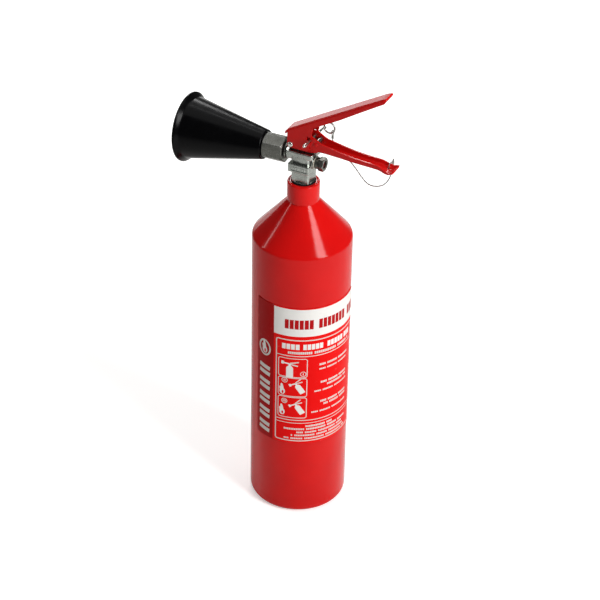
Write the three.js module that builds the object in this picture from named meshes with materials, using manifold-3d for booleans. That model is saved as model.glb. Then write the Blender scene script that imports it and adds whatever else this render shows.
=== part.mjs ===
// Portable carbon dioxide fire extinguisher: a steel cylinder with a squeeze-grip valve and a
// fixed discharge horn. Units are millimetres. +Z is up, the cylinder stands on z = 0 with its
// axis on Z, the grips point along +X, the horn along -X, and the whole head is symmetric
// about the XZ plane.
import * as THREE from "three";
import { mergeVertices } from "three/addons/utils/BufferGeometryUtils.js";
import Module from "manifold-3d";

const wasm = await Module();
wasm.setup();

// ---------------------------------------------------------------- driving dimensions
const GAP = 0.3;               // clearance between neighbouring pieces
const BODY_R = 54;             // cylinder outside radius (108 mm diameter)
const BODY_WALL = 3.6;
const BASE_WALL = 6;
const BASE_FILLET = 8;
const SHOULDER_Z = 342;        // where the side would meet the cone
const SHOULDER_FILLET = 6;
const NECK_Z = 384.3;          // where the cone would meet the neck ring
const NECK_TOP_Z = 407.3;
const NECK_RING_R = 17.3;
const NECK_R = 15.1;
const NECK_BORE_R = 12.2;

const LABEL_START = -31.2;     // degrees from -Y, positive towards +X
const LABEL_END = 107;
const LABEL_LOW_Z = 99.5;
const LABEL_HIGH_Z = 280;
const LABEL_THICK = 0.4;

const SHEET = 1.6;             // pressed steel of both grips
const LEVER_WIDTH = 18.8;
const LEVER_SLOPE = 0.587;     // rise per mm of run of the lever's top
const LEVER_TOP_Z = 478.2;     // height of the lever's top over the valve axis
const LEVER_REAR_X = -15.4;
const LEVER_TIP_X = 94;
const LEVER_TRAVEL = 7;         // degrees the lever can be squeezed
const HANDLE_WIDTH = 15;

const PIVOT = [-11.8, 452];    // x, z of the rivet the lever turns on
const REAR_RIVET = [16.4, 458.2];
const PIN = [10, 461.8];       // x, z of the safety pin
const RIVET_R = 1.9;
const REAR_RIVET_R = 1.5;
const PIN_R = 1.9;
const PIN_EYE_Y = 25.5;
const RING_R = 6.2;
const RING_WIRE_R = 1.0;
const LANYARD_R = 0.65;

const PLATE_LOW_Z = 440;
const PLATE_TOP_Z = 445.7;
const SHANK_LOW_Z = 408.9;
const TONGUE_HALF = 5.5;
const TONGUE_TOP_Z = 458.4;
const SEAT_Z = 434.8;
const CHAMBER_R = 6.6;
const STEM_R = 1.9;

const OUTLET_Z = 439.2;        // height of the horn's axis over the valve axis
const OUTLET_TILT = 1.9;       // degrees that the horn points down
const HEX_FLATS = 26.2;
const COUPLING_START = 20.5;   // distances from the valve axis along the horn's axis
const COUPLING_END = 44;
const HORN_START = 44.6;
const HORN_LIP = 131;
const HORN_MOUTH = 137.4;
const HORN_SMALL_R = 15.8;
const HORN_LARGE_R = 33.4;
const HORN_LIP_R = 37.9;
const HORN_WALL = 2.2;

const BURST_Z = 432.5;         // height of the burst disc plug

// ---------------------------------------------------------------- finishes
function finish(color, roughness, metalness) {
  return { color, roughness, metalness };
}

const RED_PAINT = finish(0xc41a1a, 0.3, 0.1);
const LABEL_RED = finish(0xb00d0d, 0.5, 0);
const NICKEL = finish(0x9a9c98, 0.3, 1);
const ZINC = finish(0x77776f, 0.4, 0.9);
const STEEL = finish(0xb9bab8, 0.25, 1);
const BRASS = finish(0xb08d4a, 0.35, 1);
const COPPER = finish(0x8a1f1a, 0.5, 0.6);
const BLACK_PLASTIC = finish(0x0b0b0c, 0.4, 0);
const RUBBER = finish(0x17171a, 0.8, 0);
const NYLON = finish(0xd8d4c6, 0.6, 0);

// ---------------------------------------------------------------- geometry helpers
const rad = THREE.MathUtils.degToRad;

/** Points on an arc of radius r about (cx, cy), from a0 to a1 degrees, ends included. */
function arc(cx, cy, r, a0, a1, steps) {
  const points = [];
  for (let i = 0; i <= steps; i += 1) {
    const a = rad(a0 + ((a1 - a0) * i) / steps);
    points.push([cx + r * Math.cos(a), cy + r * Math.sin(a)]);
  }
  return points;
}

/** Merges shared vertices, drops empty triangles and turns the faces outwards. */
function tidy(geometry) {
  const bare = geometry.index ? geometry.toNonIndexed() : geometry.clone();
  for (const name of Object.keys(bare.attributes)) {
    if (name !== "position") bare.deleteAttribute(name);
  }
  const merged = mergeVertices(bare, 1e-3);
  const place = merged.attributes.position;
  const index = merged.index.array;
  const a = new THREE.Vector3();
  const b = new THREE.Vector3();
  const c = new THREE.Vector3();
  const kept = [];
  let volume = 0;
  for (let i = 0; i < index.length; i += 3) {
    const [p, q, r] = [index[i], index[i + 1], index[i + 2]];
    if (p === q || q === r || r === p) continue;
    a.fromBufferAttribute(place, p);
    b.fromBufferAttribute(place, q);
    c.fromBufferAttribute(place, r);
    volume += a.dot(b.cross(c));
    kept.push(p, q, r);
  }
  if (volume < 0) {
    for (let i = 0; i < kept.length; i += 3) {
      [kept[i + 1], kept[i + 2]] = [kept[i + 2], kept[i + 1]];
    }
  }
  merged.setIndex(kept);
  return merged;
}

function solid(geometry) {
  const closed = tidy(geometry);
  return new wasm.Manifold(new wasm.Mesh({
    numProp: 3,
    vertProperties: new Float32Array(closed.attributes.position.array),
    triVerts: new Uint32Array(closed.index.array),
  }));
}

function geometryOf(manifold) {
  const mesh = manifold.getMesh();
  const places = new Float32Array(mesh.numVert * 3);
  for (let i = 0; i < mesh.numVert; i += 1) {
    for (let k = 0; k < 3; k += 1) places[i * 3 + k] = mesh.vertProperties[i * mesh.numProp + k];
  }
  const geometry = new THREE.BufferGeometry();
  geometry.setAttribute("position", new THREE.BufferAttribute(places, 3));
  geometry.setIndex(Array.from(mesh.triVerts));
  return geometry;
}

/** Joins a first solid with others and cuts the rest away. */
function carve(start, { add = [], cut = [], keep = [] }) {
  let shape = start;
  for (const other of add) shape = shape.add(other);
  for (const other of keep) shape = shape.intersect(other);
  for (const other of cut) shape = shape.subtract(other);
  return shape;
}

/** A turned shape about Z from a profile of [radius, height] points. */
function turned(profile, segments = 48) {
  const points = profile.map(([r, z]) => new THREE.Vector2(r, z));
  return new THREE.LatheGeometry(points, segments).rotateX(Math.PI / 2);
}

/** A ring about Z with a plain rectangular section. */
function ring(inner, outer, low, high, segments = 24) {
  return turned([[inner, low], [outer, low], [outer, high], [inner, high], [inner, low]], segments);
}

/** A cylinder about Z whose ends are chamfered. */
function rod(radius, low, high, chamfer = 0, segments = 24) {
  const profile = [[0, low], [radius - chamfer, low]];
  if (chamfer) profile.push([radius, low + chamfer], [radius, high - chamfer]);
  profile.push([radius - chamfer, high], [0, high]);
  return turned(profile, segments);
}

/** Turns a shape made about Z so that Z becomes the Y axis through (x, z). */
function aboutY(geometry, x, z) {
  return geometry.rotateX(-Math.PI / 2).translate(x, 0, z);
}

/** Turns a shape made about Z so that Z becomes the X axis at height z. */
function aboutX(geometry, z) {
  return geometry.rotateY(Math.PI / 2).translate(0, 0, z);
}

/** Turns a shape made about Z so that Z runs out along the horn's axis. */
function aboutHorn(geometry) {
  return geometry.rotateY(rad(-90 - OUTLET_TILT)).translate(0, 0, OUTLET_Z);
}

/** An outline of [x, z] points, pushed through the head's width. */
function sidePlate(points, from, to) {
  const shape = new THREE.Shape(points.map(([x, z]) => new THREE.Vector2(x, z)));
  const geometry = new THREE.ExtrudeGeometry(shape, { depth: to - from, bevelEnabled: false });
  return geometry.rotateX(Math.PI / 2).translate(0, to, 0);
}

/** An outline of [x, y] points, raised from low to high. */
function slab(points, low, high) {
  const shape = new THREE.Shape(points.map(([x, y]) => new THREE.Vector2(x, y)));
  const geometry = new THREE.ExtrudeGeometry(shape, { depth: high - low, bevelEnabled: false });
  return geometry.translate(0, 0, low);
}

/** The four corners of a rectangle, each rounded by r in the given number of steps. */
function rounded(x0, x1, y0, y1, r, steps = 4) {
  return [
    ...arc(x1 - r, y0 + r, r, -90, 0, steps),
    ...arc(x1 - r, y1 - r, r, 0, 90, steps),
    ...arc(x0 + r, y1 - r, r, 90, 180, steps),
    ...arc(x0 + r, y0 + r, r, 180, 270, steps),
  ];
}

function box(x0, x1, y0, y1, z0, z1) {
  const geometry = new THREE.BoxGeometry(x1 - x0, y1 - y0, z1 - z0);
  return geometry.translate((x0 + x1) / 2, (y0 + y1) / 2, (z0 + z1) / 2);
}

/** A round wire along a smooth open curve through the points. */
function wire(points, radius, steps, sides = 8) {
  const path = new THREE.CatmullRomCurve3(points.map((p) => new THREE.Vector3(...p)));
  const section = new THREE.Shape(arc(0, 0, radius, 0, 360 - 360 / sides, sides - 1)
    .map(([x, y]) => new THREE.Vector2(x, y)));
  return new THREE.ExtrudeGeometry(section, { steps, bevelEnabled: false, extrudePath: path });
}

/** A round wire along a smooth closed curve through the points. */
function closedWire(points, radius, steps, sides = 8) {
  const path = new THREE.CatmullRomCurve3(points.map((p) => new THREE.Vector3(...p)), true);
  return new THREE.TubeGeometry(path, steps, radius, sides, true);
}

/** Skins a list of sections, each {x, outline of [y, z]}, and closes both ends. */
function skinned(sections) {
  const count = sections[0].outline.length;
  const places = [];
  for (const { x, outline } of sections) {
    for (const [y, z] of outline) places.push(x, y, z);
  }
  const index = [];
  for (let s = 0; s + 1 < sections.length; s += 1) {
    for (let i = 0; i < count; i += 1) {
      const a = s * count + i;
      const b = s * count + ((i + 1) % count);
      index.push(a, b, b + count, a, b + count, a + count);
    }
  }
  const cap = (s, flip) => {
    const flat = sections[s].outline.map(([y, z]) => new THREE.Vector2(y, z));
    for (const [p, q, r] of THREE.ShapeUtils.triangulateShape(flat, [])) {
      const [u, v] = flip ? [r, q] : [q, r];
      index.push(s * count + p, s * count + u, s * count + v);
    }
  };
  cap(0, true);
  cap(sections.length - 1, false);
  const geometry = new THREE.BufferGeometry();
  geometry.setAttribute("position", new THREE.BufferAttribute(new Float32Array(places), 3));
  geometry.setIndex(index);
  return geometry;
}

// ---------------------------------------------------------------- assembly
const extinguisher = new THREE.Group();
extinguisher.name = "fire_extinguisher";

function part(name, shape, look) {
  const geometry = tidy(shape.isBufferGeometry ? shape : geometryOf(shape));
  geometry.computeVertexNormals();
  const mesh = new THREE.Mesh(geometry, new THREE.MeshStandardMaterial(look));
  mesh.name = name;
  extinguisher.add(mesh);
}

// ---------------------------------------------------------------- pressure vessel
const CONE_ANGLE = Math.atan2(BODY_R - NECK_RING_R, NECK_Z - SHOULDER_Z);
const CONE_DEG = THREE.MathUtils.radToDeg(CONE_ANGLE);

/** Height of the cone's outside, moved in by depth, at a radius. */
function coneHeight(radius, depth = 0) {
  const drop = depth / Math.sin(CONE_ANGLE);
  return SHOULDER_Z + (BODY_R - radius) / Math.tan(CONE_ANGLE) - drop;
}

function cylinderShell() {
  const filletRise = SHOULDER_FILLET * Math.tan(CONE_ANGLE / 2);
  const cx = BODY_R - SHOULDER_FILLET;
  const cz = SHOULDER_Z - filletRise;
  const innerR = BODY_R - BODY_WALL;
  const innerFillet = BASE_FILLET - BODY_WALL;
  return turned([
    [0, 0],
    ...arc(BODY_R - BASE_FILLET, BASE_FILLET, BASE_FILLET, -90, 0, 4),
    ...arc(cx, cz, SHOULDER_FILLET, 0, CONE_DEG, 4),
    [NECK_R, coneHeight(NECK_R)],
    [NECK_R, NECK_TOP_Z - 0.7],
    [NECK_R - 0.7, NECK_TOP_Z],
    [NECK_BORE_R, NECK_TOP_Z],
    [NECK_BORE_R, coneHeight(NECK_BORE_R, BODY_WALL)],
    [innerR, coneHeight(innerR, BODY_WALL)],
    ...arc(innerR - innerFillet, BASE_WALL + innerFillet, innerFillet, 0, -90, 2),
    [0, BASE_WALL],
  ], 60);
}

function neckRing() {
  const inner = NECK_R + GAP;
  return turned([
    [inner, coneHeight(inner) + GAP * 2],
    [NECK_RING_R, coneHeight(NECK_RING_R) + GAP * 2],
    ...arc(NECK_RING_R - 1.5, NECK_TOP_Z - 1.3, 1.5, 0, 90, 3),
    [inner, NECK_TOP_Z + 0.2],
    [inner, coneHeight(inner) + GAP * 2],
  ], 40);
}

/** A thin curved sheet standing just off the cylinder. */
function label() {
  const inner = BODY_R + GAP;
  const outer = inner + LABEL_THICK;
  const outline = [
    ...arc(0, 0, outer, LABEL_START - 90, LABEL_END - 90, 36),
    ...arc(0, 0, inner, LABEL_END - 90, LABEL_START - 90, 36),
  ];
  return slab(outline, LABEL_LOW_Z, LABEL_HIGH_Z);
}

part("cylinder_shell", cylinderShell(), RED_PAINT);
part("neck_ring", neckRing(), RED_PAINT);
part("instruction_label", label(), LABEL_RED);

// ---------------------------------------------------------------- valve
function shank() {
  const outline = [[-10.3, -8.2], [-8.7, -9.8], [8.7, -9.8], [10.3, -8.2],
    [10.3, 8.2], [8.7, 9.8], [-8.7, 9.8], [-10.3, 8.2]];
  return slab(outline, SHANK_LOW_Z, PLATE_LOW_Z + 1);
}

function tongue() {
  const lug = REAR_RIVET[0];
  const outline = [
    [LEVER_REAR_X + 0.6, PLATE_TOP_Z - 1],
    [14.6, PLATE_TOP_Z - 1],
    [15, REAR_RIVET[1] - 6.5],
    ...arc(lug, REAR_RIVET[1], 3.2, -45, 180, 9),
    [lug - 3.2, TONGUE_TOP_Z],
    ...arc(PIVOT[0] + 1.4, TONGUE_TOP_Z - 4.4, 4.4, 90, 180, 4),
  ];
  return sidePlate(outline, -TONGUE_HALF, TONGUE_HALF);
}

function namePanel(side) {
  const [near, far] = side < 0 ? [-14.8, -13.3] : [13.3, 14.8];
  return box(-8.5, 10, near, far, 424.4, 429.7);
}

/** The round cast boss that shows under the top plate on both sides. */
function sideBoss() {
  const drum = solid(aboutY(rod(6.8, -12.1, 12.1, 0.5, 28), 2.9, 441.2));
  return drum.intersect(solid(box(-10, 16, -13, 13, 430, PLATE_TOP_Z - 1)));
}

function valveBody() {
  const bar = rounded(-12.3, 12, -14, 14, 1.4, 2);
  const plate = rounded(-17, 15.2, -12.6, 12.6, 4.2, 5);
  return carve(solid(shank()), {
    add: [
      solid(rod(NECK_BORE_R - GAP, 384, SHANK_LOW_Z + 1, 0.8, 28)),
      solid(slab(bar, 422.3, 431.8)),
      solid(slab(plate, PLATE_LOW_Z, PLATE_TOP_Z)),
      sideBoss(),
      solid(aboutHorn(rod(8.2, 4, 17.6, 0.5, 28))),
      solid(aboutX(rod(7.6, 4, 13.2, 0.5, 24), BURST_Z)),
      solid(tongue()),
    ],
    cut: [
      solid(rod(CHAMBER_R, 383, SEAT_Z, 0, 24)),
      solid(rod(3, SEAT_Z - 1, 437, 0, 16)),
      solid(rod(4.2, 436.5, 444.6, 0, 16)),
      solid(rod(STEM_R + 0.45, 444, 450, 0, 16)),
      solid(rod(4.45, 449.5, 470, 0, 24)),
      solid(aboutHorn(rod(2.9, 2, 20, 0, 16))),
      solid(aboutX(rod(1.8, 3, 15, 0, 12), BURST_Z)),
      solid(aboutX(rod(5.15, 9.2, 15, 0, 20), BURST_Z)),
      solid(aboutY(rod(RIVET_R + GAP, -20, 20, 0, 16), ...PIVOT)),
      solid(aboutY(rod(REAR_RIVET_R + GAP, -20, 20, 0, 16), ...REAR_RIVET)),
      solid(namePanel(-1)),
      solid(namePanel(1)),
    ],
  });
}

part("valve_body", valveBody(), NICKEL);
part("neck_seal", ring(NECK_BORE_R, 13.4, NECK_TOP_Z + GAP, SHANK_LOW_Z - GAP), RUBBER);

/** The push rod and its sealing head: pushed down by the lever, off its seat. */
const STEM_TOP_Z = 475.4;
const HEAD_LOW_Z = 430.2;
const HEAD_HIGH_Z = 432.2;

function valveStem() {
  return turned([
    [0, 424], [1.5, 424], [1.5, HEAD_LOW_Z], [5.4, HEAD_LOW_Z], [5.4, HEAD_HIGH_Z],
    [STEM_R, HEAD_HIGH_Z], [STEM_R, STEM_TOP_Z - STEM_R],
    ...arc(0, STEM_TOP_Z - STEM_R, STEM_R, 0, 90, 4).slice(1, -1),
    [0, STEM_TOP_Z],
  ], 24);
}

function seatWasher() {
  return ring(STEM_R + GAP, 5.3, HEAD_HIGH_Z + GAP, SEAT_Z - GAP);
}

function stemSpring() {
  const low = 415.3;
  const high = HEAD_LOW_Z - GAP;
  const wireR = 0.5;
  const turns = 6;
  const points = [];
  for (let i = 0; i <= turns * 12; i += 1) {
    const angle = (i / 12) * 2 * Math.PI;
    const height = low + wireR * 1.1 + ((high - low - wireR * 2.2) * i) / (turns * 12);
    points.push([4.4 * Math.cos(angle), 4.4 * Math.sin(angle), height]);
  }
  return wire(points, wireR, turns * 12, 5);
}

function stemORing() {
  return new THREE.TorusGeometry(3.2, 0.85, 6, 24).translate(0, 0, 451.4);
}

part("valve_stem", valveStem(), STEEL);
part("seat_washer", seatWasher(), NYLON);
part("stem_spring", stemSpring(), STEEL);
part("spring_retainer", ring(2.5, CHAMBER_R - GAP, 412, 414.8), BRASS);
part("stem_o_ring", stemORing(), RUBBER);
part("gland_nut", ring(STEM_R + GAP, 4.1, 452.7, TONGUE_TOP_Z + 1.2), BRASS);

/** The adapter and siphon tube that feed the valve from the bottom of the cylinder. */
function tubeAdapter() {
  return turned([
    [4.3, 380.6], [8.6, 380.6], [8.6, 383.6], [CHAMBER_R - GAP, 383.6],
    [CHAMBER_R - GAP, 393], [4.3, 393], [4.3, 380.6],
  ], 24);
}

part("tube_adapter", tubeAdapter(), BRASS);
part("siphon_tube", ring(3, 4, 14, 392.5, 20), NICKEL);

// ---------------------------------------------------------------- burst disc
/** A hexagonal prism about Z between two heights, with its first corner at an angle. */
function hexPrism(flats, low, high, firstCorner) {
  const corner = flats / Math.sqrt(3);
  return slab(arc(0, 0, corner, firstCorner, firstCorner + 300, 5), low, high);
}

/** A double cone that trims the corners of a hexagon at both ends. */
function cornerTrim(flats, low, high) {
  const corner = flats / Math.sqrt(3);
  const bite = corner - flats / 2;
  return turned([
    [0, low], [flats / 2, low], [corner + 0.2, low + bite * 0.7],
    [corner + 0.2, high - bite * 0.7], [flats / 2, high], [0, high],
  ], 30);
}

function burstPlug() {
  const flats = 13.6;
  const head = solid(aboutX(hexPrism(flats, 18.6, 24.4, 30), BURST_Z));
  return carve(head, {
    keep: [solid(aboutX(cornerTrim(flats, 18.6, 24.4), BURST_Z))],
    cut: [solid(aboutX(rod(4.45, 21, 26), BURST_Z))],
  }).add(solid(aboutX(rod(6.3, 14.6, 19, 0.4), BURST_Z)))
    .add(solid(aboutX(rod(4.8, 9.6, 16, 0.5, 20), BURST_Z)))
    .subtract(solid(aboutX(rod(2, 8, 26, 0, 12), BURST_Z)));
}

part("burst_disc_plug", burstPlug(), NICKEL);
part("burst_disc", aboutX(rod(4.1, 21.3, 22), BURST_Z), COPPER);
part("burst_washer", aboutX(ring(5.15, 7, 13.5, 14.3), BURST_Z), RUBBER);

// ---------------------------------------------------------------- outlet and horn
function outletSpigot() {
  return turned([
    [3.2, 17.9], [9.6, 17.9], [9.6, 19.2], [7.6, 19.2], [7.6, 30.2], [3.2, 30.2], [3.2, 17.9],
  ], 28);
}

/** The hexagonal coupling: female on the valve side, a socket for the horn on the other. */
function hornCoupling() {
  const corner = 7.3;            // one corner lies a little above the near side
  const hex = solid(aboutHorn(hexPrism(HEX_FLATS, COUPLING_START, COUPLING_END, corner)));
  return carve(hex, {
    keep: [solid(aboutHorn(cornerTrim(HEX_FLATS, COUPLING_START, COUPLING_END)))],
    cut: [
      solid(aboutHorn(rod(8, 19, 31, 0, 24))),
      solid(aboutHorn(rod(3.6, 30, 37, 0, 16))),
      solid(aboutHorn(rod(9.45, 35.6, 46, 0, 24))),
    ],
  });
}

function horn() {
  const spigotR = 9.1;
  const boreR = 5.5;
  const backWall = 3;
  const slope = (HORN_LARGE_R - HORN_SMALL_R) / (HORN_LIP - HORN_START);
  const innerBack = HORN_START + backWall;
  const innerSmall = HORN_SMALL_R + slope * backWall - HORN_WALL;
  return turned([
    [boreR, 36.2], [spigotR, 36.2], [spigotR, HORN_START],
    ...arc(HORN_SMALL_R - 1.6, HORN_START + 1.6, 1.6, -90, 0, 3),
    [HORN_LARGE_R, HORN_LIP],
    [HORN_LIP_R - 1.2, HORN_MOUTH - 3.2],
    ...arc(HORN_LIP_R - 1.1, HORN_MOUTH - 1.1, 1.1, 0, 90, 3),
    [HORN_LIP_R - 2.6, HORN_MOUTH],
    [HORN_LARGE_R - HORN_WALL + 0.4, HORN_LIP + 0.8],
    [innerSmall, innerBack],
    [boreR, innerBack],
    [boreR, 36.2],
  ], 48);
}

function hornNozzle() {
  return turned([
    [1.6, 36.6], [5.1, 36.6], [5.1, 50.5], [3.6, 52], [1.6, 52], [1.6, 36.6],
  ], 20);
}

part("outlet_spigot", aboutHorn(outletSpigot()), NICKEL);
part("horn_coupling", hornCoupling(), ZINC);
part("discharge_horn", aboutHorn(horn()), BLACK_PLASTIC);
part("horn_nozzle", aboutHorn(hornNozzle()), BRASS);

// ---------------------------------------------------------------- carrying handle
/** One U-shaped section of the handle's channel: a flat floor, round corners, two walls. */
function channelSection(x, width, floor, height) {
  const half = width / 2;
  const r = Math.min(3.2, height - 0.1);
  const inner = r - SHEET;
  return {
    x,
    outline: [
      [-half, floor + height],
      ...arc(-half + r, floor + r, r, 180, 270, 4),
      ...arc(half - r, floor + r, r, 270, 360, 4),
      [half, floor + height],
      [half - SHEET, floor + height],
      ...arc(half - r, floor + r, Math.max(inner, 0.2), 360, 270, 4),
      ...arc(-half + r, floor + r, Math.max(inner, 0.2), 270, 180, 4),
      [-half + SHEET, floor + height],
    ],
  };
}

/** The channel from the cheeks to the spread, upturned tip: x, width, floor, wall height. */
const CHANNEL = [
  [19, 15, 448.9, 13.3], [24, 15, 449, 10.9], [33, 15, 448.8, 9.5], [45, 15, 448.3, 7.9],
  [56, 15, 447.6, 7.1], [67, 15, 447.2, 6.6], [78, 15, 447, 6.3], [87, 15.2, 446.7, 6],
  [91, 16, 445.9, 5.4], [95, 17.6, 445, 4.5], [99, 19.2, 445.1, 3.6], [102.4, 19.6, 446.6, 2.7],
  [104.4, 18.8, 447.6, 2.4],
];

function handleCheeks() {
  const half = HANDLE_WIDTH / 2;
  const outline = [
    [-14.8, 447.1], [8, 447], [14, 447.7], [18.8, 449.2], [19.2, 453.6], [24, 453.6],
    [24, 459.8], [21.2, 461], [17.2, 463.3],
    ...arc(11, 463.6, 2.6, 60, 90, 2),
    [-7, 466.2], [-14.8, 463],
  ];
  return carve(solid(sidePlate(outline, -half, half)), {
    cut: [solid(box(-30, 30, -half + SHEET, half - SHEET, 430, 480))],
  });
}

const LANYARD_HOLE = [95, 3.2];

function carryHandle() {
  return carve(handleCheeks(), {
    add: [solid(skinned(CHANNEL.map((row) => channelSection(...row))))],
    cut: [
      solid(aboutY(rod(RIVET_R + GAP, -20, 20, 0, 20), ...PIVOT)),
      solid(aboutY(rod(REAR_RIVET_R + GAP, -20, 20, 0, 20), ...REAR_RIVET)),
      solid(aboutY(rod(PIN_R + GAP, -20, 20, 0, 20), ...PIN)),
      solid(rod(1.5, 440, 452, 0, 16).translate(...LANYARD_HOLE, 0)),
    ],
  });
}

part("carry_handle", carryHandle(), RED_PAINT);

// ---------------------------------------------------------------- operating lever
const LEVER_ANGLE = Math.atan(LEVER_SLOPE);

/** Height of the lever's top at x, moved down by depth square to it. */
function leverTop(x, depth = 0) {
  return LEVER_TOP_Z + LEVER_SLOPE * x - depth / Math.cos(LEVER_ANGLE);
}

/** Side outline of the lever: deep cheeks round the valve, shallow sides along the grip. */
function leverOutline() {
  const tip = leverTop(LEVER_TIP_X);
  return [
    [LEVER_REAR_X, 449.3],
    [LEVER_REAR_X + 0.8, 448.5],
    [8, 448.5],
    [9.1, 449.6],
    [11.3, 460],
    [12.7, 472],
    ...arc(17.2, 474.6, 4.4, 172, 120, 3),
    [44, leverTop(44, 7.4)],
    [66, leverTop(66, 6.1)],
    [86, leverTop(86, 5.1)],
    [LEVER_TIP_X - 1.5, leverTop(LEVER_TIP_X - 1.5, 4.9)],
    [LEVER_TIP_X + 0.4, tip - 3],
    [LEVER_TIP_X - 0.9, tip - 1.3],
    [LEVER_TIP_X - 3, leverTop(LEVER_TIP_X - 3, 0.4)],
    [LEVER_TIP_X - 6, leverTop(LEVER_TIP_X - 6)],
    [LEVER_REAR_X, leverTop(LEVER_REAR_X)],
  ];
}

/** Plan of the lever, seen square to its top, with a rounded tip. */
function leverPlan() {
  const half = LEVER_WIDTH / 2;
  const length = (LEVER_TIP_X + 2) / Math.cos(LEVER_ANGLE);
  return [
    [-60, -half], ...arc(length - 7.5, -half + 7.5, 7.5, -90, 0, 5),
    ...arc(length - 7.5, half - 7.5, 7.5, 0, 90, 5), [-60, half],
  ];
}

/** A long bar with rounded top edges: it rounds the folds of the lever. */
function foldedBar(half, top, radius) {
  const section = [
    [-half, -60], [half, -60],
    ...arc(half - radius, top - radius, radius, 0, 90, 4),
    ...arc(-half + radius, top - radius, radius, 90, 180, 4),
  ];
  return skinned([{ x: -60, outline: section }, { x: 160, outline: section }]);
}

/** Places a shape made level at z = 0 on the slope of the lever's top. */
function onLever(geometry) {
  return geometry.rotateY(-LEVER_ANGLE).translate(0, 0, LEVER_TOP_Z);
}

function leverHollow() {
  const innerHalf = LEVER_WIDTH / 2 - SHEET;
  const endX = LEVER_TIP_X - 2.6;
  const outline = [
    [-40, leverTop(-40, SHEET)], [-40, 420], [endX, 420], [endX, leverTop(endX, SHEET)],
  ];
  return sidePlate(outline, -innerHalf, innerHalf);
}

/** The lip that curls down along the lever's rear edge. */
function rearLip() {
  const half = LEVER_WIDTH / 2 - 0.5;
  return sidePlate([
    [-13, leverTop(-13, 0.3)], [-16, 468.2], [-17.9, 466.4], [-18.5, 464.4], [-17.9, 463.2],
    [-16.8, 463.5], [-16.7, 465], [-15.2, 466.6], [-13, leverTop(-13, 1.6)],
  ], -half, half);
}

/** The slot that lets the cheeks swing past the safety pin. */
function pinSlot() {
  const hole = () => rod(PIN_R + GAP, -20, 20, 0, 20);
  const passed = new THREE.Vector2(...PIN);
  passed.rotateAround(new THREE.Vector2(...PIVOT), rad(LEVER_TRAVEL));
  return solid(aboutY(hole(), ...PIN)).add(solid(aboutY(hole(), passed.x, passed.y))).hull();
}

function operatingLever() {
  const half = LEVER_WIDTH / 2;
  return carve(solid(sidePlate(leverOutline(), -half, half)), {
    keep: [
      solid(onLever(foldedBar(half, 0, 2.2))),
      solid(onLever(slab(leverPlan(), -60, 10))),
    ],
    cut: [
      solid(leverHollow()),
      solid(aboutY(rod(RIVET_R + GAP, -20, 20, 0, 20), ...PIVOT)),
      pinSlot(),
    ],
  }).add(solid(rearLip()));
}

part("operating_lever", operatingLever(), RED_PAINT);

// ---------------------------------------------------------------- rivets and safety pin
/** A rivet about Z: a plain shank between two domed heads. */
function rivet(shankR, headR, grip, rise) {
  const dome = arc(0, 0, 1, 0, 90, 3).map(([c, s]) => [headR * c, grip + rise * s]);
  return turned([
    ...dome.map(([r, z]) => [r, -z]).reverse(),
    [shankR, -grip], [shankR, grip],
    ...dome,
  ], 20);
}

part("pivot_rivet", aboutY(rivet(RIVET_R, 3, LEVER_WIDTH / 2 + GAP, 1.3), ...PIVOT), STEEL);
part("rear_rivet",
  aboutY(rivet(REAR_RIVET_R, 2.4, HANDLE_WIDTH / 2 + GAP, 0.6), ...REAR_RIVET), RED_PAINT);

/** The safety pin: a plain rod with a stop collar and a flattened, drilled pull end. */
function safetyPin() {
  const shaft = turned([
    [0, -22.6], [1.2, -22.2], [PIN_R, -21], [PIN_R, 10.2], [3.2, 10.2], [3.2, 11.6],
    [PIN_R, 11.6], [PIN_R, 23], [0, 23],
  ], 20);
  const tab = slab([
    ...arc(0, PIN_EYE_Y, 3.2, 0, 180, 8), [-3.2, 23.6], [-1.9, 21.6], [1.9, 21.6], [3.2, 23.6],
  ], -1.4, 1.4);
  const [x, z] = PIN;
  return carve(solid(aboutY(shaft, x, z)), {
    add: [solid(tab.translate(x, 0, z))],
    cut: [solid(rod(1.45, -5, 5, 0, 20).translate(x, PIN_EYE_Y, z))],
  });
}

const RING_X = PIN[0] + RING_R;

function pullRing() {
  const torus = new THREE.TorusGeometry(RING_R, RING_WIRE_R, 8, 32);
  return torus.rotateX(Math.PI / 2).translate(RING_X, PIN_EYE_Y, PIN[1]);
}

part("safety_pin", safetyPin(), STEEL);
part("pull_ring", pullRing(), STEEL);

// ---------------------------------------------------------------- lanyard
/** Where the lanyard's first eye holds the pull ring, low on the ring's free side. */
const HOLD = [RING_X + RING_R * Math.cos(rad(-50)), PIN[1] + RING_R * Math.sin(rad(-50))];
const FERRULE_R = 1.3;

function pinEye() {
  const torus = new THREE.TorusGeometry(2.4, LANYARD_R, 6, 20);
  return torus.rotateY(rad(75)).translate(HOLD[0], PIN_EYE_Y, HOLD[1]);
}

function pinFerrule() {
  return rod(FERRULE_R, 449.8, 453.8, 0.4, 16).translate(HOLD[0], PIN_EYE_Y, 0);
}

/** The eye at the handle: through the hole in the floor and over the far wall. */
function handleEye() {
  const x = LANYARD_HOLE[0];
  return closedWire([
    [x, 3.2, 444.2], [x, 3.2, 447.6], [x, 5, 450.6], [x, 7.8, 451.4], [x, 10.4, 450.2],
    [x, 11, 447.2], [x, 10.2, 444.4], [x, 8, 443], [x, 5, 442.8],
  ], LANYARD_R, 32, 6);
}

function handleFerrule() {
  return turned([
    [0, 446.2], [1.1, 446.2], [FERRULE_R, 446.6], [FERRULE_R, 450.2], [1.1, 450.6],
    [LANYARD_R, 450.6], [LANYARD_R, 453.2], [0, 453.2],
  ], 16).translate(95.4, 13.3, 0);
}

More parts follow.
